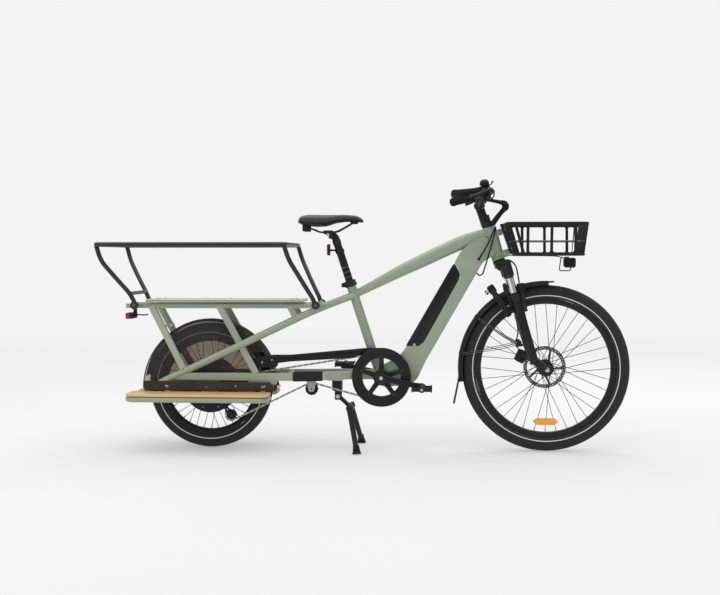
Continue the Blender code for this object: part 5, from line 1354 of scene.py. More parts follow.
def idler():
    x, z = IDLER
    wheel = toothed(IDLER, CHAIN_Y, 12, 0.0046, 0.0060, 0.0026, 0.0050)
    root = pitch_radius(12) - 0.0052
    core = turned([
        (0.0052, -0.0556), (root, -0.0556), (0.0252, -0.0534), (0.0252, -0.0436), (root, -0.0414),
        (0.0052, -0.0414)
    ], at(x, 0, z), 64)
    holes = [disc(at(x + 0.0182 * math.cos(a), -0.0485, z + 0.0182 * math.sin(a)), 0.0040, 0.030, 16)
             for a in (math.radians(22.5 + 45 * k) for k in range(8))]
    show(gather(wheel, cut(core, *holes)), "idler_teeth", "idler", "plastic", "idler_wheel", crease=30)
    show(join(
        disc(at(x, -0.0575, z), 0.0085, 0.0040, 28, bevel=0.0008),
        rod(at(x, -0.0690, z), at(x, -0.0550, z), 0.0038, sides=20)
    ),
         "idler_bolt", "frame", "dark_steel")


def derailleur():
    guide, tension = at(GUIDE[0], 0, GUIDE[1]), at(TENSION[0], 0, TENSION[1])
    parts = []
    for y in (-0.0402, -0.0562):
        run = (tension - guide).normalized()
        out = run.cross(V(0, 1, 0))
        shape = []
        for k in range(13):
            a = math.radians(90 + 180 * k / 12)
            shape.append((0.0120 * math.cos(a), 0.0120 * math.sin(a)))
        length = (tension - guide).length
        shape.append((length * 0.5, -0.0065))
        for k in range(13):
            a = math.radians(-90 + 180 * k / 12)
            shape.append((length + 0.0110 * math.cos(a), 0.0110 * math.sin(a)))
        shape.append((length * 0.5, 0.0065))
        holes = [[
            (length * s + 0.0035 * math.cos(t), 0.0035 * math.sin(t))
            for t in np.linspace(0, 2 * math.pi, 17)[:-1]
        ] for s in (0.36, 0.64)]
        lay = Matrix(((run.x, out.x, 0, guide.x), (0, 0, 1, y), (run.z, out.z, 0, guide.z), (0, 0, 0, 1)))
        parts.append(sheet([shape] + holes, 0.0021, lay, 0.0002))
    parts.append(rod(guide + V(0, -0.0390, 0), guide + V(0, -0.0700, 0), 0.0045, sides=24))
    parts.append(rod(tension + V(0, -0.0395, 0), tension + V(0, -0.0580, 0), 0.0032, sides=16))
    body_rings = [
        box(at(0.032, -0.0640, 0.215), (0.046, 0.019, 0.012), lean=math.atan2(0.022, 0.028), bevel=0.003)
    ]
    parts += body_rings
    parts.append(
        rod(at(0.046, -0.0590, 0.200), at(0.046, -0.0750, 0.200), 0.0122, 0.0112, 36, bevel=0.0015)
    )
    parts.append(
        rod(at(0.020, -0.0600, 0.226), at(0.020, -0.0735, 0.226), 0.0095, 0.0090, 32, bevel=0.0012)
    )
    parts.append(
        box(at(0.030, -0.0750, 0.214), (0.030, 0.003, 0.008), lean=math.atan2(0.022, 0.028), bevel=0.001)
    )
    show(gather(*parts), "gear_mech", "frame", "black", "derailleur", crease=30)
    show(toothed(GUIDE, CHAIN_Y, 11, 0.0036, 0.0046, 0.0022, 0.0040), "guide_pulley", "frame", "plastic")
    show(
        toothed(TENSION, CHAIN_Y, 11, 0.0036, 0.0040, 0.0022, 0.0040), "tension_teeth", "tensioner",
        "plastic", "tension_pulley"
    )
    cable = smooth_path([
        at(0.018, -0.0745, 0.232), at(-0.020, -0.078, 0.236), at(-0.052, -0.078, 0.262),
        at(-0.040, -0.0665, 0.296), at(0.02, -0.0655, 0.300)
    ], 30)
    show(tube(cable, 0.0024, 12), "gear_cable", "frame", "rubber")


def crank_set():
    x, z = CRANK
    show(disc(at(x, 0, z), 0.0160, 0.156, 40), "crank_axle", "crank", "dark_steel", "crank_set")
    for side in (-1, 1):
        s = 1 if side < 0 else -1
        ex, ez = x + s * CRANK_LENGTH * math.cos(CRANK_DROP), z - s * CRANK_LENGTH * math.sin(CRANK_DROP)
        hub, end = at(x, side * 0.0790, z), at(ex, side * 0.0930, ez)
        run = end - hub
        stations = []
        for t, deep, wide in (
            (0, 0.0190, 0.0085), (0.10, 0.0150, 0.0075), (0.3, 0.0122, 0.0062), (0.8, 0.0112, 0.0060),
            (0.95, 0.0135, 0.0065), (1.0, 0.0140, 0.0068)
        ):
            stations.append((hub + run * t, deep, wide))
        arm = beam(stations, 28, 0.55)
        tip = disc(end, 0.0152, 0.0138, 36, bevel=0.0025)
        boss = disc(hub, 0.0205, 0.0180, 40, bevel=0.0030)
        tag = "R" if side < 0 else "L"
        show(join(arm, tip, boss), "crank_arm_" + tag, "crank", "black", crease=32)
        bolt = join(
            disc(at(x, side * 0.0888, z), 0.0078, 0.0030, 32, bevel=0.0008),
            disc(at(x, side * 0.0900, z), 0.0046, 0.0034, 6)
        )
        show(bolt, "crank_bolt_" + tag, "crank", "steel")
        show(
            rod(end + V(0, side * 0.0060, 0), at(ex, side * 0.1940, ez), 0.0055, sides=24),
            "pedal_axle_" + tag, "crank", "steel"
        )


def chainring():
    x, z = CRANK
    openings = []
    for i in range(5):
        a = 2 * math.pi * (i + 0.75) / 5
        shape = [(0.0765 * math.cos(a + t), 0.0765 * math.sin(a + t)) for t in np.linspace(-0.50, 0.50, 13)]
        shape += [(0.0320 * math.cos(a + t), 0.0320 * math.sin(a + t)) for t in np.linspace(0.30, -0.30, 7)]
        openings.append(shape)
    ring = toothed(CRANK, -0.0480, 48, 0.0028, 0.0163, 0.0034, 0.0036, openings)
    show(ring, "chainring_teeth", "crank", "dark_steel", "chainring", crease=30)
    arms = []
    for i in range(5):
        a = 2 * math.pi * (i + 0.25) / 5
        start = at(x + 0.020 * math.cos(a), -0.0530, z + 0.020 * math.sin(a))
        end = at(x + 0.0850 * math.cos(a), -0.0530, z + 0.0850 * math.sin(a))
        arms.append(beam(
            [(start, 0.0135, 0.0045), (start.lerp(end, 0.5), 0.0088, 0.0042), (end, 0.0085, 0.0040)], 24,
            0.5
        ))
    core = turned(
        [(0.0163, -0.0600), (0.0290, -0.0600), (0.0320, -0.0570), (0.0320, -0.0500), (0.0163, -0.0500)],
        at(x, 0, z), 64
    )
    show(join(core, *arms), "spider", "crank", "black", crease=30)
    section = [(0.0792, -0.0575)]
    for r in np.linspace(0.0805, 0.1180, 26):
        section.append((float(r), -0.0585 + 0.00055 * math.cos((r - 0.0805) / 0.0375 * math.pi * 8)))
    section += [(0.1193, -0.0570), (0.1195, -0.0540), (0.1180, -0.0532), (0.0792, -0.0535)]
    show(turned(section, at(x, 0, z), 144), "guard_ring", "crank", "gloss", "chain_guard", crease=45)
    bolts = []
    for i in range(5):
        a = 2 * math.pi * (i + 0.25) / 5
        bolts.append(screw_head(
            at(x + 0.0860 * math.cos(a), -0.0588, z + 0.0860 * math.sin(a)), V(0, -1, 0), 0.0036, 0.0022
        ))
    show(gather(*bolts), "guard_bolts", "crank", "dark_steel")


def pedals():
    for side, tag in ((-1, "R"), (1, "L")):
        s = 1 if side < 0 else -1
        ex = CRANK[0] + s * CRANK_LENGTH * math.cos(CRANK_DROP)
        ez = CRANK[1] - s * CRANK_LENGTH * math.sin(CRANK_DROP)
        c = at(ex, side * 0.1500, ez)
        cage = []
        for sx in (-1, 1):
            comb = [box(c + V(sx * 0.0380, 0, 0), (0.0040, 0.0880, 0.0170), bevel=0.001)]
            cage += comb
        for y in (-0.0430, 0.0430):
            cage.append(box(c + V(0, y, 0), (0.0800, 0.0045, 0.0150), bevel=0.0012))
        cage.append(box(c, (0.0780, 0.0130, 0.0110), bevel=0.002))
        teeth = []
        for sx in (-1, 1):
            for k in range(9):
                for up in (-1, 1):
                    teeth.append(
                        box(c + V(sx * 0.0380, -0.0400 + k * 0.0100, up * 0.0088), (0.0042, 0.0042, 0.0030))
                    )
        core = disc(c, 0.0122, 0.0880, 40, bevel=0.002)
        solid = cut(join(*cage, core, *teeth), disc(c, 0.0060, 0.20, 24))
        show(
            solid, "pedal_cage_" + tag, "pedal_right" if side < 0 else "pedal_left", "plastic",
            "pedal_" + tag
        )
        lenses = []
        for sx in (-1, 1):
            for y in (-0.0225, 0.0225):
                lenses.append(box(c + V(sx * 0.0402, y, 0), (0.0012, 0.0240, 0.0090), bevel=0.0004))
        show(
            gather(*lenses), "pedal_reflectors_" + tag, "pedal_right" if side < 0 else "pedal_left", "amber"
        )


front_wheel()
rear_wheel()
rear_axle()
cassette()
chain()
idler()
derailleur()
crank_set()
chainring()
pedals()


# ---------------------------------------------------------------- fork


def leg_tube(side, high, low, radius_high, radius_low, forward=0.0, **more):
    return rod(
        leg_point(high, side, forward), leg_point(low, side, forward), radius_high, radius_low, 36, **more
    )


def fork_crown():
    crown = box(head_point(0.158, 0.008), (0.060, 0.146, 0.027), lean=-HEAD_LEAN, bevel=0.0055, segments=4)
    parts = [crown, rod(head_point(-0.050), head_point(0.180), 0.0142, sides=32)]
    for side in (-1, 1):
        parts.append(leg_tube(side, 0.762, 0.705, 0.0225, 0.0215, bevel=0.002))
    show(join(*parts), "crown_body", "steering", "black", "fork_crown", crease=32)
    race = join(rod(
        head_point(HEAD_LENGTH + 0.0006), head_point(HEAD_LENGTH + 0.0140), 0.0262, 0.0245, 40, bevel=0.0012
    ),
                rod(head_point(-0.0115), head_point(-0.0008), 0.0252, 0.0268, 40, bevel=0.0015))
    show(race, "headset_cups", "steering", "black")
    show(
        gather(*[leg_tube(side, 0.760, 0.500, STANCHION_R, STANCHION_R) for side in (-1, 1)]), "stanchions",
        "steering", "chrome"
    )
    seals = gather(*[leg_tube(side, 0.7045, 0.699, 0.0170, 0.0166, bevel=0.001) for side in (-1, 1)])
    show(seals, "stanchion_collars", "steering", "rubber")


def fork_lowers():
    axle = at(WHEELBASE, 0, FRONT_R)
    parts, bores = [], []
    for side in (-1, 1):
        drop = axle + V(0, side * LEG_Y, 0)
        parts.append(leg_tube(side, 0.630, 0.360, 0.0195, 0.0175))
        parts.append(leg_tube(side, 0.634, 0.608, 0.0212, 0.0205, bevel=0.0018))
        parts.append(rod(leg_point(0.370, side), drop, 0.0158, 0.0145, 32))
        parts.append(disc(drop, 0.0190, 0.0165, 40, bevel=0.0025))
        bores.append(leg_tube(side, 0.660, 0.450, STANCHION_R + 0.0003, STANCHION_R + 0.0003))
    arch = [
        leg_point(0.596, -1, -0.022) + V(0, 0.008, 0), leg_point(0.640, -1, -0.024) + V(0, 0.014, 0),
        leg_point(0.676, -1, -0.024) + V(0, 0.036, 0), leg_point(0.676, 1, -0.024) + V(0, -0.036, 0),
        leg_point(0.640, 1, -0.024) + V(0, -0.014, 0), leg_point(0.596, 1, -0.022) + V(0, -0.008, 0),
    ]
    parts.append(tube(arch, 0.0082, 20, corner=0.024, steps=6))
    parts.append(rod(leg_point(0.560, -1, 0.020), post_neck(), 0.0125, 0.0100, 28, bevel=0.001))
    parts.append(rod(axle - V(0, LEG_Y, 0), axle + V(0, LEG_Y, 0), 0.0060, sides=24))
    show(cut(join(*parts), *bores), "lower_legs", "fork_lower", "black", "fork_lowers", crease=32)
    ends = []
    for side in (-1, 1):
        drop = axle + V(0, side * LEG_Y, 0)
        ends.append(
            disc(drop + V(0, side * 0.0105, 0), 0.0105, 0.0060, 6 if side < 0 else 32, bevel=0.0010)
        )
        ends.append(disc(drop + V(0, side * 0.0150, 0), 0.0058, 0.0050, 24, bevel=0.0006))
        ends.append(leg_tube(side, 0.6345, 0.6335, 0.0170, 0.0168))
    show(gather(*ends), "axle_ends", "fork_lower", "steel")
    wipers = gather(*[cut(
        leg_tube(side, 0.6415, 0.6330, 0.0182, 0.0205, bevel=0.0008),
        leg_tube(side, 0.66, 0.62, 0.0160, 0.0160)
    ) for side in (-1, 1)])
    show(wipers, "wiper_seals", "fork_lower", "rubber")
    quick = tube([
        axle + V(0, LEG_Y + 0.012, 0), axle + V(-0.010, LEG_Y + 0.020, 0.006),
        axle + V(-0.046, LEG_Y + 0.021, 0.030)
    ], 0.0040, 16, corner=0.010,
                 radii=lambda t: 0.8 + 0.5 * t)
    show(quick, "axle_lever", "fork_lower", "black")


def post_neck():
    return head_point(fork_down(0.640), LEG_OFFSET + 0.030, -LEG_Y)


def boot_post():
    """The small post in front of the right leg, its rubber boot and the hose that feeds it."""
    neck = post_neck()
    top = neck + V(-0.004, 0, 0.0285)
    rise = top - neck
    rings = []
    for i in range(9):
        t = i / 8
        rings.append((t, 0.0150 + (0.0012 if i % 2 else -0.0004) - 0.0010 * (1 - t)))
    made = [rod(neck + rise * a[0], neck + rise * b[0], a[1], b[1], 32) for a, b in zip(rings, rings[1:])]
    made.append(rod(top, top + rise.normalized() * 0.0015, 0.0148, 0.0135, 32))
    show(join(*made), "post_boot", "fork_lower", "rubber")
    start, end = at(1.2070, -0.060, 0.765), top + V(-0.004, 0, 0.002)
    hose = smooth_path(
        [start, at(1.2180, -0.066, 0.7690), at(1.2340, -0.067, 0.7560), at(1.2440, -0.0655, 0.7360), end],
        26
    )
    piece = tube(hose, 0.0030, 14)
    show(piece, "post_hose", None, "rubber")
    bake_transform(piece)


def front_caliper():
    lean = math.radians(-155.1)
    c = at(1.2730, 0.0392, 0.3780)
    block = box(c, (0.034, 0.028, 0.052), lean=lean, bevel=0.0055, segments=4)
    body = cut(block, box(c, (0.060, 0.0060, 0.070), lean=lean))
    back = V(math.cos(lean), 0, -math.sin(lean))
    spine = box(c + back * 0.016, (0.016, 0.0276, 0.048), lean=lean, bevel=0.003)
    piston = rod(c + V(0, 0.013, 0), c + V(0, 0.0165, 0), 0.0125, 0.0110, 32, bevel=0.001)
    show(join(body, spine, piston), "front_caliper_body", "fork_lower", "black", "front_caliper")
    up = V(math.sin(lean), 0, math.cos(lean))
    bolts = [
        screw_head(c + back * 0.016 + up * s + V(0, 0.0138, 0), V(0, 1, 0), 0.0046, 0.0030)
        for s in (-0.017, 0.017)
    ]
    show(gather(*bolts), "front_caliper_bolts", "fork_lower", "steel")
    hose = smooth_path([
        at(1.2650, 0.052, 0.400), at(1.2520, 0.062, 0.430), at(1.2600, 0.075, 0.480),
        at(1.2460, 0.0815, 0.560), at(1.2280, 0.080, 0.618)
    ], 30)
    show(tube(hose, 0.0027, 14), "brake_hose_low", "fork_lower", "rubber")
    start, end = at(1.1900, 0.074, 0.742), hose[-1]
    link = smooth_path([start, at(1.1960, 0.088, 0.715), at(1.2180, 0.090, 0.665), end], 20)
    piece = tube(link, 0.0027, 14)
    show(piece, "brake_hose_mid", None, "rubber")
    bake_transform(piece)
    top = smooth_path(
        [at(1.1400, 0.038, 0.925), at(1.1500, 0.0436, 0.880), at(1.1720, 0.0500, 0.800), start], 24
    )
    show(tube(top, 0.0027, 14), "brake_hose_top", "steering", "rubber")


def rear_caliper():
    lean = math.radians(30)
    c = at(0.0825, 0.0462, 0.2090)
    body = cut(
        box(c, (0.034, 0.028, 0.052), lean=lean, bevel=0.0055, segments=4),
        box(c, (0.060, 0.0060, 0.070), lean=lean)
    )
    back = V(math.cos(lean), 0, -math.sin(lean))
    spine = box(c + back * 0.016, (0.016, 0.0276, 0.048), lean=lean, bevel=0.003)
    piston = rod(c + V(0, 0.013, 0), c + V(0, 0.0165, 0), 0.0125, 0.0110, 32, bevel=0.001)
    show(join(body, spine, piston), "rear_caliper_body", "frame", "black", "rear_caliper")
    hose = smooth_path([
        at(0.102, 0.055, 0.229), at(0.130, 0.066, 0.262), at(0.190, 0.070, 0.279), at(0.300, 0.0715, 0.281)
    ], 30)
    show(tube(hose, 0.0026, 14), "rear_brake_hose", "frame", "rubber")


# ---------------------------------------------------------------- front mudguard and wheel lock


def front_mudguard():
    rows = []
    for i in range(15):
        y = (2 * i / 14 - 1) * 0.030
        rows.append((0.3525 - 0.006 * (y / 0.030) ** 2 - 0.011 * (y / 0.030) ** 6, y))
    inner = [(r - 0.0022, y * 0.93) for r, y in rows]
    axle = at(WHEELBASE, 0, FRONT_R)
    shell = turned(rows + inner[::-1], axle, 76, math.radians(88.5), math.radians(100.8))
    nose = []
    for k, half in enumerate((0.0265, 0.0260, 0.0235, 0.0180, 0.0060)):
        a, r = math.radians(89.3 - 1.15 * k), 0.3500 + 0.0007 * k
        out = V(math.cos(a), 0, math.sin(a))
        nose.append([axle + out * (r + dr) + V(0, y, 0) for y, dr in
                     (
                         (-half, -0.0035), (0, 0.0006), (half, -0.0035), (half, -0.0060), (0, -0.0020),
                         (-half, -0.0060)
                     )])
    rings = []
    for (x, z), half in zip(
        ((1.0185, 0.296), (1.0135, 0.268), (1.0080, 0.240), (1.0030, 0.215), (0.998, 0.190)),
        (0.0262, 0.0285, 0.0310, 0.0325, 0.0318)
    ):
        p = at(x, 0, z)
        rings.append([
            p + V(*v)
            for v in ((-0.0030, -half, 0), (0.0030, -half, 0), (0.0030, half, 0), (-0.0030, half, 0))
        ])
    show(
        join(shell, lofted(rings), lofted(nose)), "front_mudguard", "fork_lower", "plastic", "front_fender"
    )
    wires, clips = [], []
    for start, bend in (((1.0917, 0.5392), (1.200, 0.462)), ((1.0288, 0.3918), (1.200, 0.420))):
        for side in (-1, 1):
            for lift in (-0.0035, 0.0035):
                up = V(0, 0, lift)
                path = [
                    at(start[0], side * 0.0292, start[1]) + up, at(bend[0], side * 0.038, bend[1]) + up,
                    at(1.252, side * 0.0425, 0.436) + up
                ]
                wires.append(tube(path, 0.0014, 10, corner=0.02))
            lean = math.atan2(start[0] - WHEELBASE, start[1] - FRONT_R)
            clips.append(box(
                at(start[0] - 0.003, side * 0.0290, start[1]), (0.014, 0.0060, 0.016), lean=lean,
                bevel=0.0012
            ))
    for side in (-1, 1):
        clips.append(box(at(1.257, side * 0.0430, 0.436), (0.018, 0.0072, 0.024), bevel=0.0020))
        clips.append(
            rod(at(1.262, side * 0.0430, 0.436), at(1.270, side * 0.0560, 0.430), 0.0042, sides=16)
        )
    show(gather(*wires), "mudguard_stays", "fork_lower", "dark_steel")
    show(gather(*clips), "stay_clips", "fork_lower", "plastic")


def lock_frame():
    out = V(-0.555, 0, 0.832).normalized()
    axis = V(out.z, 0, -out.x)
    return at(WHEELBASE, 0, FRONT_R) + out * 0.320 - axis * 0.005, out, axis


def ring_point(degrees, radius=0.070):
    centre, out, _ = lock_frame()
    a = math.radians(degrees)
    return centre + out * (radius * math.cos(a)) + V(0, -radius * math.sin(a), 0)


def ring_bar(start, end, steps, radial, axial, round_off=0.0):
    axis = lock_frame()[2]
    rings = []
    mid_r, half_r = (radial[0] + radial[1]) / 2, (radial[1] - radial[0]) / 2
    mid_a, half_a = (axial[0] + axial[1]) / 2, (axial[1] - axial[0]) / 2
    shape = squircle(24, 0.42) if round_off else [(-1, -1), (1, -1), (1, 1), (-1, 1)]
    for i in range(steps + 1):
        d = start + (end - start) * i / steps
        rings.append(
            [ring_point(d, 0.070 + mid_r + u * half_r) + axis * (mid_a + v * half_a) for u, v in shape]
        )
    return lofted(rings)


def wheel_lock():
    centre, out, axis = lock_frame()
    housing = ring_bar(-140, 140, 56, (-0.0125, 0.0125), (-0.011, 0.011), 0.4)
    block = box(
        ring_point(24, 0.072), (0.030, 0.040, 0.034), lean=math.atan2(out.x, out.z), bevel=0.006, segments=4
    )
    pads = []
    for side in (-1, 1):
        start = ring_point(-62 * side) + axis * 0.005
        pads.append(rod(start, start + V(0.030, -0.002 * side, -0.003), 0.0050, sides=24))
    slot = ring_bar(-145, -15, 26, (-0.0055, 0.0055), (-0.0150, 0.0012))
    socket = ring_bar(120, 145, 6, (-0.0055, 0.0055), (-0.0098, 0.0012))
    show(
        cut(join(housing, block, *pads), slot, socket), "lock_housing", "fork_lower", "plastic",
        "wheel_lock"
    )
    rail = tube([ring_point(-134 + 110 * i / 30) - axis * 0.0042 for i in range(31)], 0.0038, 18)
    foot = ring_point(-27) - axis * 0.0042
    knob = rod(foot, foot - axis * 0.0170, 0.0042, sides=24)
    show(join(rail, knob), "shackle_bar", "shackle", "steel", "lock_shackle")
    show(
        box(foot - axis * 0.0190, (0.020, 0.012, 0.008), lean=math.atan2(axis.x, axis.z), bevel=0.0025),
        "shackle_grip", "shackle", "plastic"
    )
    key = ring_point(24, 0.072) - axis * 0.0165
    show(join(
        rod(key, key - axis * 0.0040, 0.0080, sides=32, bevel=0.0006),
        rod(key, key - axis * 0.016, 0.0030, sides=16)
    ), "lock_key", "fork_lower", "steel")


# ---------------------------------------------------------------- cockpit


def bar_run():
    inner, outer = at(*GRIP_IN), at(*GRIP_OUT)
    along = (outer - inner).normalized()
    ahead = V(-along.y, along.x, 0).normalized()
    return inner, outer, along, ahead if ahead.x > 0 else -ahead


def stem():
    clamp_at = at(*HANDLE_CLAMP)
    base, neck = at(1.1265, 0, 0.9060), at(1.0990, 0, 0.9820)
    parts = [rod(head_point(-0.0120), head_point(-0.0220), 0.0238, 0.0222, 40, bevel=0.001),
             beam(
                 [(base, 0.0195, 0.0210), (base.lerp(neck, 0.5), 0.0182, 0.0195), (neck, 0.0178, 0.0190)],
                 36, 0.85
             ),
             disc(clamp_at, 0.0218, 0.046, 48, bevel=0.003)]
    solid = cut(
        join(*parts), rod(head_point(0.010), head_point(-0.0505), 0.0148, sides=32),
        disc(clamp_at, 0.0165, 0.080, 40)
    )
    show(solid, "stem_body", "steering", "black", "stem", crease=32)
    face = V(-0.32, 0, 0.95).normalized()
    bolts = [
        screw_head(clamp_at + V(0, y, 0) + face * 0.0195 + V(0, 0, z), face, 0.0042, 0.0032)
        for y in (-0.014, 0.014) for z in (-0.011, 0.011)
    ]
    show(gather(*bolts), "stem_bolts", "steering", "dark_steel")


def handlebar():
    half = [
        at(1.098, -0.012, 0.990), at(1.100, -0.040, 0.992), at(1.118, -0.100, 1.020),
        at(1.1479, -0.1611, 1.0445), at(*GRIP_OUT)
    ]
    inner, outer, along, _ = bar_run()
    half[-1] = half[-1] - along * 0.006
    path = [V(p.x, -p.y, p.z) for p in half][::-1] + half
    bar = tube(path, 0.0111, 28, corner=0.040, steps=8)
    show(
        join(bar, disc(at(*HANDLE_CLAMP), 0.0159, 0.060, 40, bevel=0.001)), "swept_bar", "steering",
        "black", "handlebar"
    )


def grips():
    inner, outer, along, ahead = bar_run()
    start, end = inner + along * 0.004, outer + along * 0.004
    length = (end - start).length
    up = ahead.cross(along).normalized()
    if up.z < 0:
        up = -up
    rings = []
    steps = 132
    for i in range(steps + 1):
        t = i / steps
        radius = 0.0150 + 0.0018 * t
        if t > 0.925:
            radius = 0.0182
        elif t < 0.045:
            radius = 0.0166
        elif math.sin(t * length / 0.0052 * 2 * math.pi) < -0.25:
            radius -= 0.0011
        centre = start + along * (length * t)
        rings.append([
            centre + ahead * (radius * math.cos(a) * (1.0 + 0.10 * t)) + up * (radius * math.sin(a))
            for a in np.linspace(0, 2 * math.pi, 41)[:-1]
        ])
    solid = cut(lofted(rings), rod(start - along * 0.02, end - along * 0.006, 0.0121, sides=32))
    other = swap(copy_of(solid))
    show(solid, "grip_ribbed_R", "steering", "rubber", "grip_R", crease=30)
    show(other, "grip_ribbed_L", "steering", "rubber", "grip_L", crease=30)


def controls(side, tag):
    inner, outer, along, ahead = bar_run()
    clamp_at = inner - along * 0.020
    yaw = math.atan2(ahead.y, ahead.x)
    band = rod(clamp_at - along * 0.008, clamp_at + along * 0.008, 0.0182, sides=40, bevel=0.0015)
    cylinder = rod(
        clamp_at + ahead * 0.022 - along * 0.030, clamp_at + ahead * 0.0185 + along * 0.022, 0.0102, 0.0086,
        32, bevel=0.002
    )
    arm = box(clamp_at + ahead * 0.020, (0.020, 0.014, 0.014), yaw=yaw, bevel=0.0025)
    switch_at = inner - along * 0.044
    pod = rod(switch_at - along * 0.010, switch_at + along * 0.010, 0.0196, sides=40, bevel=0.003)
    low = box(switch_at + V(0, 0, -0.022), (0.034, 0.022, 0.020), yaw=yaw, bevel=0.0055, segments=4)
    solid = join(band, cylinder, arm, pod, low, rod(clamp_at, switch_at, 0.0165, sides=36))
    solid = cut(solid, rod(inner - along * 0.075, inner + along * 0.004, 0.0122, sides=32))
    gap_at = clamp_at + ahead * 0.036
    solid = cut(solid, rod(gap_at + V(0, 0, 0.02), gap_at - V(0, 0, 0.02), 0.0098, sides=28))
    buttons = []
    for k in (-1, 0, 1):
        place = switch_at + along * (k * 0.0055) + ahead * (-0.0165) + V(0, 0, 0.0085)
        buttons.append(box(place, (0.006, 0.004, 0.005), yaw=yaw, bevel=0.0012))
    trim = gather(*buttons, screw_head(clamp_at + V(0, 0, 0.0176), V(0, 0, 1), 0.0034, 0.0018))
    exit_at = clamp_at + ahead * 0.022 - along * 0.030
    hose = smooth_path([exit_at, exit_at - along * 0.014 + V(0, 0, -0.004),
                        at(1.150, -0.150, 1.034), at(1.150, -0.105, 1.020),
                        at(1.141, -0.066, 1.011), at(1.132, -0.036, 1.010)], 30)
    cable = tube(hose, 0.0026, 14)
    pieces = [
        (solid, "switch_pod_", "plastic", "controls_" + tag), (trim, "switch_buttons_", "grey", ()),
        (cable, "bar_hose_", "rubber", ())
    ]
    for made, name, look, node in pieces:
        show(swap(made) if side > 0 else made, name + tag, "steering", look, node)
    if side > 0:
        display = soften(
            box(at(1.110, 0.052, 1.022), (0.040, 0.046, 0.012), lean=math.radians(-24), bevel=0.004), 0.0012
        )
        show(display, "display_pod", "steering", "plastic")
        return
    seat = inner - along * 0.034 + V(0, 0, 0.0140)
    dome = [(0.0005, 0.030), (0.0050, 0.0297), (0.0100, 0.0285), (0.0140, 0.0258),
            (0.0170, 0.0215), (0.0184, 0.0160), (0.0187, 0.0100), (0.0187, 0.0062),
            (0.0175, 0.0050), (0.0080, 0.0), (0.0005, 0.0)]
    made = turned(dome, V(0, 0, 0), 48)
    made.data.transform(Matrix.Translation(seat) @ Matrix.Rotation(math.pi / 2, 4, "X"))
    show(made, "bell_dome", "steering", "gloss")
    striker = tube(
        [seat + V(0.016, 0, 0.006), seat + V(0.026, -0.002, 0.010), seat + V(0.030, -0.002, 0.020)], 0.0024,
        14, corner=0.006
    )
    show(
        join(striker, disc(seat + V(0.030, -0.002, 0.0205), 0.0042, 0.007, 20, bevel=0.001)),
        "bell_striker", "steering", "dark_steel"
    )


def brake_levers():
    inner, outer, along, ahead = bar_run()
    pivot = inner - along * 0.020 + ahead * 0.036
    tip = [pivot + ahead * 0.002, pivot + along * 0.030 + ahead * 0.006,
           pivot + along * 0.070 + ahead * 0.010 - V(0, 0, 0.010),
           pivot + along * 0.112 + ahead * 0.012 - V(0, 0, 0.014)]
    blade = tube(
        tip, 0.0050, 24, corner=0.03, steps=8, radii=lambda t: 1.0 + 0.22 * max(0.0, (t - 0.86) / 0.14)
    )
    ball = rod(tip[-1] - along * 0.004, tip[-1] + along * 0.0015, 0.0066, 0.0060, 24, bevel=0.0015)
    boss = rod(pivot - V(0, 0, 0.0075), pivot + V(0, 0, 0.0075), 0.0080, sides=32, bevel=0.001)
    pin = screw_head(pivot + V(0, 0, 0.0074), V(0, 0, 1), 0.0040, 0.0014)
    solid = join(blade, ball, boss)
    left, left_pin = swap(copy_of(solid)), swap(copy_of(pin))
    show(solid, "lever_blade_R", "brake_lever_right", "black", "brake_lever_R")
    show(left, "lever_blade_L", "brake_lever_left", "black", "brake_lever_L")
    show(pin, "lever_pin_R", "brake_lever_right", "steel")
    show(left_pin, "lever_pin_L", "brake_lever_left", "steel")


def shift_lever():
    inner, outer, along, ahead = bar_run()
    hub = inner - along * 0.044 + V(0, 0, -0.0375)
    paddle = box(hub - V(0.022, 0.004, 0.0), (0.034, 0.012, 0.005), bevel=0.0018)
    ridges = [box(hub - V(0.030 + k * 0.003, 0.004, -0.0024), (0.0012, 0.011, 0.0012)) for k in range(3)]
    show(join(
        rod(hub - V(0, 0, 0.004), hub + V(0, 0, 0.004), 0.010, sides=32, bevel=0.001), paddle, *ridges
    ), "thumb_paddle", "shifter", "plastic", "shift_lever")


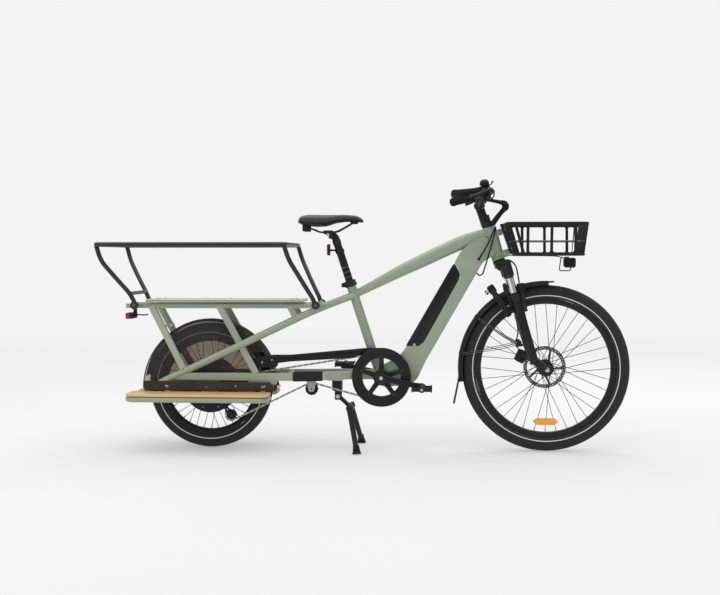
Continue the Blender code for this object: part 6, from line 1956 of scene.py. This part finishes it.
def loom():
    corners = [at(1.128, -0.030, 1.012), at(1.158, -0.034, 1.006), at(1.196, -0.036, 0.998),
               at(1.203, -0.036, 0.982), at(1.178, -0.036, 0.955), at(1.149, -0.036, 0.914)]
    path = smooth_path(ring_path_open(corners, 0.020), 150)

    def swell(t):
        """The sleeve's width along its path: thick at the clip, thinner bundles either side, fine rings."""
        clip = 0.80 * math.exp(-((t - 0.47) / 0.13) ** 2)
        bundle = 0.42 * min(1.0, max(0.0, (t - 0.55) * 4))
        ring = 0.07 if math.sin(t * 2 * math.pi * 42) > 0 else -0.03
        return 0.78 + clip + bundle + ring

    rings = tube(path, 0.0088, 24, radii=swell)
    show(rings, "wrapped_loom", "steering", "rubber", "cable_loom", crease=30)
    ends = (
        (
            at(1.160, -0.041, 0.902), at(1.150, -0.046, 0.878), at(1.126, -0.044, 0.825),
            at(1.096, -0.0315, 0.774)
        ),
        (
            at(1.163, -0.036, 0.900), at(1.156, -0.046, 0.870), at(1.134, -0.046, 0.790),
            at(1.117, -0.034, 0.732)
        ),
    )
    for tag, knots in zip("AB", ends):
        piece = tube(smooth_path(knots, 34), 0.0029, 14)
        show(piece, "frame_cable_" + tag, None, "rubber")
        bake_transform(piece)
    bend = smooth_path([
        ends[1][3], at(1.112, -0.030, 0.717), at(1.104, -0.026, 0.710), at(1.095, -0.020, 0.711),
        at(1.085, -0.014, 0.723)
    ], 24)
    show(tube(bend, 0.0029, 14), "frame_cable_loop", "frame", "rubber")
    show(
        disc(at(1.096, -0.0305, 0.7740), 0.0060, 0.004, 24, bevel=0.001), "cable_grommet", "frame", "rubber"
    )


fork_crown()
fork_lowers()
boot_post()
front_caliper()
rear_caliper()
front_mudguard()
wheel_lock()
stem()
handlebar()
grips()
controls(-1, "R")
controls(1, "L")
brake_levers()
shift_lever()
loom()


# ---------------------------------------------------------------- saddle and post

SADDLE = [
    # x, top z, bottom z, half width
    (0.366, 0.936, 0.921, 0.040), (0.378, 0.950, 0.914, 0.072), (0.405, 0.9555, 0.908, 0.085),
    (0.440, 0.9545, 0.905, 0.080), (0.480, 0.9530, 0.907, 0.058), (0.520, 0.9545, 0.920, 0.036),
    (0.560, 0.9560, 0.925, 0.025), (0.600, 0.9520, 0.924, 0.022), (0.622, 0.9420, 0.922, 0.018),
    (0.630, 0.9330, 0.924, 0.010),
]


def saddle_rings(count, sides, shrink=0.0):
    """Cross-sections of the saddle, evenly spaced from its back to its nose."""
    table = np.array(SADDLE)
    rings = []
    for i in range(count):
        share = i / (count - 1)
        x = table[0, 0] + (table[-1, 0] - table[0, 0]) * (0.5 - 0.5 * math.cos(math.pi * share))
        top, low, half = (float(np.interp(x, table[:, 0], table[:, k])) for k in (1, 2, 3))
        mid = (top + low) / 2
        ring = []
        for a in np.linspace(0, 2 * math.pi, sides + 1)[:-1]:
            y = (half - shrink) * math.copysign(abs(math.sin(a)) ** 0.8, math.sin(a))
            z = mid + (top - mid - shrink) * math.copysign(abs(math.cos(a)) ** 0.62, math.cos(a))
            ring.append(at(x, y, z))
        rings.append(ring)
    return rings


def puff(obj):
    """Padding: the closed cover is inflated a little by a cloth simulation, then made smooth."""
    remesh = obj.modifiers.new("remesh", "REMESH")
    remesh.mode = "VOXEL"
    remesh.voxel_size = 0.0042
    solid = to_mesh(obj)
    rest = [v.co.copy() for v in solid.data.vertices]
    group = solid.vertex_groups.new(name="held")
    low = min(v.co.z for v in solid.data.vertices)
    high = max(v.co.z for v in solid.data.vertices)
    for v in solid.data.vertices:
        share = (high - v.co.z) / (high - low)
        group.add([v.index], 1.0 if share > 0.62 else 0.12, "REPLACE")
    cloth = solid.modifiers.new("cloth", "CLOTH")
    settings = cloth.settings
    settings.quality = 5
    settings.use_pressure = True
    settings.uniform_pressure_force = 4
    settings.effector_weights.gravity = 0
    settings.vertex_group_mass = "held"
    settings.pin_stiffness = 1.0
    cloth.point_cache.frame_start = 1
    cloth.point_cache.frame_end = 20
    scene = bpy.context.scene
    for number in range(1, 21):
        scene.frame_set(number)
    graph = bpy.context.evaluated_depsgraph_get()
    moved = solid.evaluated_get(graph).to_mesh()
    cap = 0.0022
    places = []
    for v, old in zip(moved.vertices, rest):
        step = v.co - old
        places.append(old + (step if step.length < cap else step.normalized() * cap))
    solid.evaluated_get(graph).to_mesh_clear()
    solid.modifiers.clear()
    for v, place in zip(solid.data.vertices, places):
        v.co = place
    scene.frame_set(1)
    return solid


def sculpt(obj):
    """Presses the seams, the middle channel and the softened rim into the saddle's cover."""
    table = np.array(SADDLE)
    sub = obj.modifiers.new("smooth", "SUBSURF")
    sub.levels = 1
    sub.render_levels = 1
    obj = to_mesh(obj)
    bm = bmesh.new()
    bm.from_mesh(obj.data)
    for _ in range(3):
        bmesh.ops.smooth_vert(
            bm, verts=bm.verts, factor=0.5, use_axis_x=True, use_axis_y=True, use_axis_z=True
        )
    bm.normal_update()
    for v in bm.verts:
        x = v.co.x + MID_X
        half = float(np.interp(x, table[:, 0], table[:, 3]))
        top = float(np.interp(x, table[:, 0], table[:, 1]))
        low = float(np.interp(x, table[:, 0], table[:, 2]))
        upper = v.co.z > (top + low) / 2 + 0.002
        move = 0.0
        if upper:
            channel = math.exp(-(v.co.y / 0.0075) ** 2) * min(
                1.0, max(0.0, (x - 0.385) / 0.03)
            ) * min(1.0, max(0.0, (0.600 - x) / 0.03))
            move -= 0.0022 * channel
            seam_at = 0.58 * half + 0.002
            move -= 0.0011 * math.exp(
                -((abs(v.co.y) - seam_at) / 0.0012) ** 2
            ) * (1.0 if 0.385 < x < 0.612 else 0.0)
            for cross in (0.468, 0.474):
                move -= 0.0007 * math.exp(-((x - cross) / 0.0012) ** 2) * (
                    1.0 if abs(v.co.y) < seam_at else 0.0
                )
        level = low + (top - low) * 0.34
        move -= 0.0010 * math.exp(-((v.co.z - level) / 0.0010) ** 2)
        if move:
            v.co += v.normal * move
    bpy.data.objects.remove(obj, do_unlink=True)
    return from_bmesh(bm)


def saddle():
    cover = lofted(saddle_rings(34, 40, 0.0012))
    show(sculpt(puff(cover)), "saddle_padding", "seat", "saddle", "saddle", crease=60)
    rings = []
    for ring in saddle_rings(30, 40):
        low = min(p.z for p in ring)
        high = max(p.z for p in ring)
        level = low + (high - low) * 0.30
        rings.append([V(p.x, p.y * 0.985, min(p.z, level)) for p in ring])
    show(lofted(rings), "saddle_shell", "seat", "plastic")
    humps = []
    for side in (-1, 1):
        humps.append(rod(
            at(0.398, side * 0.034, 0.912), at(0.398, side * 0.034, 0.8860), 0.0150, 0.0135, 32, bevel=0.003
        ))
    humps.append(box(at(0.592, 0, 0.921), (0.030, 0.024, 0.010), bevel=0.003))
    show(gather(*humps), "saddle_sockets", "seat", "plastic")


def saddle_rails():
    rails = []
    for side in (-1, 1):
        path = [at(0.398, side * 0.034, 0.9005), at(0.425, side * 0.028, 0.896), at(0.452, side * 0.022, 0.883),
                at(0.520, side * 0.022, 0.883), at(0.562, side * 0.014, 0.906),
                at(0.582, side * 0.009, 0.918)]
        rails.append(tube(path, 0.0036, 20, corner=0.018, steps=8))
    clamp = join(box(
        at(0.487, 0, 0.8865), (0.036, 0.058, 0.0085), bevel=0.0025
    ), box(at(0.487, 0, 0.8780), (0.033, 0.054, 0.0070), bevel=0.0025),
                 box(at(0.487, 0, 0.882), (0.024, 0.030, 0.014), bevel=0.001))
    show(gather(*rails), "rail_wires", "seat", "black", "saddle_rails")
    show(clamp, "rail_clamp", "seat", "black")
    bolt = join(disc(at(0.487, 0, 0.8735), 0.0045, 0.052, 24), disc(
        at(0.487, -0.0265, 0.8735), 0.0072, 0.005, 6, bevel=0.0006
    ),
                disc(at(0.487, 0.0265, 0.8735), 0.0072, 0.005, 6, bevel=0.0006))
    show(bolt, "rail_bolt", "seat", "steel")


def seat_post():
    top, low = seat_point(0.862), seat_point(0.470)
    slope = (top - low).normalized()
    crook = tube(
        [top - slope * 0.016, top + slope * 0.004, at(0.4920, 0, 0.8740)], 0.0152, 28, corner=0.016, steps=6
    )
    solid = join(
        rod(low, top, 0.0158, sides=40, bevel=0.001),
        rod(top - slope * 0.030, top - slope * 0.010, 0.0172, sides=40, bevel=0.002), crook
    )
    show(solid, "post_tube", "seat", "black", "seat_post")
    collar = join(rod(seat_point(0.800), seat_point(0.812), 0.0186, sides=36, bevel=0.0012),
                  box(seat_point(0.806) + V(-0.026, 0, 0.004), (0.030, 0.010, 0.008), bevel=0.0015),
                  box(seat_point(0.812) + V(-0.0415, 0, 0), (0.006, 0.047, 0.047), bevel=0.002))
    show(collar, "reflector_holder", "seat", "plastic")
    show(
        box(seat_point(0.812) + V(-0.0462, 0, 0), (0.0060, 0.044, 0.044), bevel=0.0025, segments=4),
        "post_reflector", "seat", "red"
    )
    marks = [rod(seat_point(z), seat_point(z + 0.0008), 0.01595, sides=40) for z in (0.700, 0.720, 0.740)]
    show(gather(*marks), "post_marks", "seat", "steel")


# ---------------------------------------------------------------- basket and front lamp


def wall(x_share, y_share, height):
    """A point of the basket's tapered wall: shares run 0 to 1 rear to front and -1 to 1 across."""
    t = (height - BASKET_LOW[2]) / (BASKET_TOP[2] - BASKET_LOW[2])
    rear, front, half = (BASKET_LOW[i] + (BASKET_TOP[i] - BASKET_LOW[i]) * t for i in (0, 1, 3))
    return at(rear + (front - rear) * x_share, y_share * half, height)


def hoop(height, radius, sides, corner=0.030):
    corners = [wall(0, -1, height), wall(1, -1, height), wall(1, 1, height), wall(0, 1, height)]
    return tube(ring_path(corners, corner, 8), radius, sides, closed=True)


def rim_band(height, out, tall, half_thick, corner=0.034):
    """A flat band standing on edge round the basket."""
    corners = [wall(0, -1, height), wall(1, -1, height), wall(1, 1, height), wall(0, 1, height)]
    middle = sum(corners, V(0, 0, 0)) / 4
    path = ring_path(corners, corner, 8)
    bm = bmesh.new()
    loops = []
    for p in path:
        away = V(p.x - middle.x, p.y - middle.y, 0).normalized()
        section = [
            (out - half_thick, -tall), (out + half_thick, -tall), (out + half_thick, tall),
            (out - half_thick, tall)
        ]
        loops.append([bm.verts.new(p + away * o + V(0, 0, z)) for o, z in section])
    for i, loop in enumerate(loops):
        after = loops[(i + 1) % len(loops)]
        for k in range(4):
            bm.faces.new((loop[k], loop[(k + 1) % 4], after[(k + 1) % 4], after[k]))
    bmesh.ops.recalc_face_normals(bm, faces=bm.faces)
    return soften(from_bmesh(bm), 0.0012, 50, 2)


def side_wall(side):
    """A side of the basket: one sheet with four rounded windows, leaning outwards."""
    low, high = BASKET_LOW[2], BASKET_TOP[2]
    sill, head = low + 0.0075, high - 0.0070
    rear = [(1.2395, head), (1.2755, head), (1.2755, sill), (1.2700, sill)]
    windows = [rear]
    for left, right in ((1.2868, 1.3675), (1.3788, 1.4595)):
        windows.append([(left, head), (right, head), (right, sill), (left, sill)])
    windows.append([(1.4708, head), (1.4940, head), (1.4840, sill), (1.4708, sill)])
    outline = [(1.2260, high), (1.5000, high), (1.4860, low), (1.2600, low)]
    made = plate(outline, 0, 0.0050, 0.0009, [rounded(w, 0.009, 5) for w in windows])
    tilt = (BASKET_TOP[3] - BASKET_LOW[3]) / (high - low)
    shear = Matrix.Identity(4)
    shear[1][2] = side * tilt
    made.data.transform(Matrix.Translation((0, side * (BASKET_LOW[3] - tilt * low), 0)) @ shear)
    return made


def basket():
    low, high = BASKET_LOW[2], BASKET_TOP[2]
    along, across = V(1, 0, 0), V(0, 1, 0)
    parts = [rim_band(high, 0.001, 0.0056, 0.0042), hoop(high - 0.0042, 0.0042, 16), hoop(low, 0.0064, 20)]
    for side in (-1, 1):
        parts.append(side_wall(side))
    for i in range(15):
        share = -0.91 + 1.82 * i / 14
        parts.append(slat(wall(1, share, low), wall(1, share, high), 0.0062, 0.0045, across, 0.0010))
    for i in range(9):
        share = -0.88 + 1.76 * i / 8
        parts.append(slat(wall(0, share, low), wall(0, share, high), 0.0080, 0.0045, across, 0.0010))
    for share in (-0.80, -0.5, -0.22, 0.0, 0.22, 0.5, 0.80):
        parts.append(slat(wall(0, share, low), wall(1, share, low), 0.0120, 0.0050, across, 0.0010))
    for share in (0.14, 0.32, 0.5, 0.68, 0.86):
        parts.append(slat(wall(share, -1, low), wall(share, 1, low), 0.0120, 0.0046, along, 0.0010))
    show(gather(*parts), "basket_ribs", "frame", "plastic", "basket", crease=40)
    show(hoop(0.8455, 0.0024, 14), "basket_wire", "frame", "dark_steel")


def basket_mount():
    top, low = at(1.1860, 0, 0.9160), at(1.2282, 0, 0.7950)
    web = slat(low, top, 0.060, 0.0110, V(0, 1, 0), 0.0022)
    run = (top - low).normalized()
    face = run.cross(V(0, 1, 0)).normalized()
    if face.x < 0:
        face = -face
    hole = [
        rod(low.lerp(top, s) - face * 0.02, low.lerp(top, s) + face * 0.02, 0.011, sides=28) for s in (0.5,)
    ]
    show(cut(web, *hole), "mount_plate", "frame", "black", "basket_mount")
    bolts = []
    for share in (0.16, 0.80):
        for y in (-0.015, 0.015):
            bolts.append(
                screw_head(low.lerp(top, share) + V(0, y, 0) + face * 0.0052, face, 0.0050, 0.0028)
            )
    show(gather(*bolts), "mount_bolts", "frame", "steel")


def front_lamp():
    shell = cut(
        box(at(1.460, 0, 0.7600), (0.046, 0.046, 0.040), bevel=0.009, segments=5),
        box(at(1.486, 0, 0.760), (0.010, 0.036, 0.030), bevel=0.003)
    )
    neck = box(at(1.448, 0, 0.7800), (0.016, 0.024, 0.008), bevel=0.001)
    fins = [box(at(1.4375 + k * 0.005, 0, 0.7600), (0.0018, 0.0478, 0.030), bevel=0.0006) for k in range(3)]
    show(join(shell, neck, *fins), "lamp_shell", "frame", "plastic", "front_light")
    show(
        box(at(1.4808, 0, 0.760), (0.0052, 0.0352, 0.0292), bevel=0.0022, segments=4), "lamp_lens", "frame",
        "clear"
    )
    guard = [
        at(1.424, -0.016, 0.780), at(1.416, -0.016, 0.728), at(1.462, -0.016, 0.728),
        at(1.462, -0.016, 0.748)
    ]
    wires = [
        tube(guard, 0.0021, 16, corner=0.010),
        tube([at(1.424, -0.016, 0.7795), at(1.448, -0.010, 0.7795)], 0.0021, 16)
    ]
    show(gather(*wires), "lamp_bracket", "frame", "black")
    cable = smooth_path([
        at(1.440, 0.006, 0.778), at(1.405, 0.008, 0.7860), at(1.330, 0.006, 0.7880),
        at(1.250, 0.004, 0.7880), at(1.2170, 0.002, 0.7900)
    ], 30)
    show(tube(cable, 0.0018, 12), "lamp_cable", "frame", "rubber")


# ---------------------------------------------------------------- kickstand


def kickstand():
    px, pz = STAND_PIVOT
    parts = [box(at(px - 0.004, 0, 0.2605), (0.040, 0.054, 0.0440), bevel=0.004, segments=3)]
    for side in (-1, 1):
        parts.append(box(at(px, side * 0.0225, 0.226), (0.026, 0.0080, 0.050), bevel=0.0028, segments=3))
    show(join(*parts), "stand_bracket", "frame", "black", "kickstand_mount")
    pin = join(
        disc(at(px, 0, pz), 0.0050, 0.050, 28),
        *[disc(at(px, s * 0.0280, pz), 0.0092, 0.0050, 6, bevel=0.0008) for s in (-1, 1)]
    )
    show(pin, "stand_pin", "frame", "steel")
    hub = disc(at(px, 0, pz), 0.0130, 0.0360, 40, bevel=0.001)
    link = slat(at(px + 0.006, 0, pz - 0.006), at(0.572, 0, 0.174), 0.0300, 0.0140, V(0, 1, 0), 0.003)
    yoke = tube([at(0.575, -0.054, 0.168), at(0.575, 0.054, 0.168)], 0.0125, 28)
    solids = [hub, link, yoke]
    x, y = STAND_FOOT
    for side in (-1, 1):
        solids.append(rod(
            at(0.574, side * 0.046, 0.176), at(x - 0.001, side * (y - 0.003), 0.012), 0.0115, 0.0105, 32
        ))
        solids.append(rod(
            at(0.574, side * 0.046, 0.178), at(0.581, side * 0.0515, 0.163), 0.0145, 0.0135, 32, bevel=0.001
        ))
    frame_part = cut(
        join(*solids), disc(at(px, 0, pz), 0.0056, 0.060, 28), box(at(x, 0, -0.05), (0.3, 0.5, 0.1))
    )
    show(frame_part, "stand_legs", "stand", "black", "kickstand")
    shoes = []
    for side in (-1, 1):
        high = at(x - 0.0045, side * (y - 0.0075), 0.034)
        low = at(x, side * y, 0.0)
        boot = cut(
            join(rod(low, high, 0.0165, 0.0122, 32), rod(low, low.lerp(high, 0.25), 0.0178, 0.0168, 32)),
            box(at(x, 0, -0.05), (0.3, 0.5, 0.1))
        )
        shoes.append(boot)
    show(gather(*shoes), "stand_shoes", "stand", "rubber")
    coil = []
    start, end = at(px - 0.020, 0.0310, 0.236), at(0.571, 0.0310, 0.158)
    run = end - start
    turn = facing(run)
    for i in range(181):
        t = i / 180
        a = t * 2 * math.pi * 16
        coil.append(start + run * t + turn @ V(0.0052 * math.cos(a), 0.0052 * math.sin(a), 0))
    spring = tube(coil, 0.0011, 8)
    show(spring, "stand_spring", None, "steel")
    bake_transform(spring)


saddle()
saddle_rails()
seat_post()
basket()
basket_mount()
front_lamp()
kickstand()


# ---------------------------------------------------------------- stage, light and camera


LAMPS = (
    # name, place, size, power, aim
    ("top", (0.0, 0.3, 3.6), 3.4, 42, (0, 0, 0.2)),
    ("key", (-2.6, -2.2, 3.2), 1.6, 16, (0, 0, 0.4)),
    ("rim", (2.4, 2.6, 2.8), 1.6, 16, (0.2, 0, 0.5)),
)


def studio_world():
    """A white surround for the camera; the light it gives comes mostly from above."""
    world = bpy.data.worlds.new("studio")
    bpy.context.scene.world = world
    world.use_nodes = True
    nodes, links = world.node_tree.nodes, world.node_tree.links
    back = nodes["Background"]
    place = nodes.new("ShaderNodeTexCoord")
    split = nodes.new("ShaderNodeSeparateXYZ")
    ramp = nodes.new("ShaderNodeValToRGB")
    links.new(place.outputs["Generated"], split.inputs[0])
    links.new(split.outputs["Z"], ramp.inputs[0])
    ramp.color_ramp.elements[0].position = 0.12
    ramp.color_ramp.elements[0].color = (0.34, 0.34, 0.345, 1)
    ramp.color_ramp.elements[1].position = 0.62
    ramp.color_ramp.elements[1].color = (1.0, 1.0, 1.0, 1)
    path = nodes.new("ShaderNodeLightPath")
    mix = nodes.new("ShaderNodeMix")
    mix.data_type = "RGBA"
    links.new(path.outputs["Is Camera Ray"], mix.inputs[0])
    links.new(ramp.outputs[0], mix.inputs[6])
    mix.inputs[7].default_value = (0.896, 0.896, 0.896, 1)
    links.new(mix.outputs[2], back.inputs["Color"])
    back.inputs["Strength"].default_value = 1.0


def stage():
    bm = bmesh.new()
    bmesh.ops.create_grid(bm, x_segments=1, y_segments=1, size=12)
    floor = from_bmesh(bm, Matrix.Translation((0, 0, -0.0012)))
    floor.name = "floor"
    m = Mat("pale_floor")
    reach = m.node("ShaderNodeVectorMath", operation="LENGTH")
    m.link(m.coords, reach.inputs[0])
    glow = m.node("ShaderNodeMapRange")
    m.link(reach.outputs["Value"], glow.inputs["Value"])
    for socket, value in (("From Min", 1.0), ("From Max", 8.0), ("To Min", 0.355), ("To Max", 0.50)):
        glow.inputs[socket].default_value = value
    m.set(Base_Color=m.mix(m.noise(0.6, 2.0), (0.49, 0.49, 0.49), (0.51, 0.51, 0.51)), Roughness=0.9,
          Specular_IOR_Level=0.0, Emission_Color=(0.9, 0.9, 0.9), Emission_Strength=glow.outputs[0])
    floor.data.materials.append(m.mat)
    studio_world()
    for name, place, size, power, aim in LAMPS:
        lamp = bpy.data.lights.new(name, "AREA")
        lamp.size = size
        lamp.energy = power
        obj = bpy.data.objects.new(name, lamp)
        obj.location = place
        obj.rotation_euler = (Vector(aim) - Vector(place)).to_track_quat("-Z", "Y").to_euler()
        bpy.context.scene.collection.objects.link(obj)
    bpy.context.scene.view_settings.view_transform = "Standard"
    camera = bpy.data.cameras.new("camera")
    camera.lens = 55.4
    camera.sensor_width = 36.0
    obj = bpy.data.objects.new("camera", camera)
    obj.location = (0.3051, -4.5022, 0.7839)
    obj.rotation_euler = (math.radians(90 - 2.108), 0, math.radians(4.161))
    bpy.context.scene.collection.objects.link(obj)
    bpy.context.scene.camera = obj


stage()
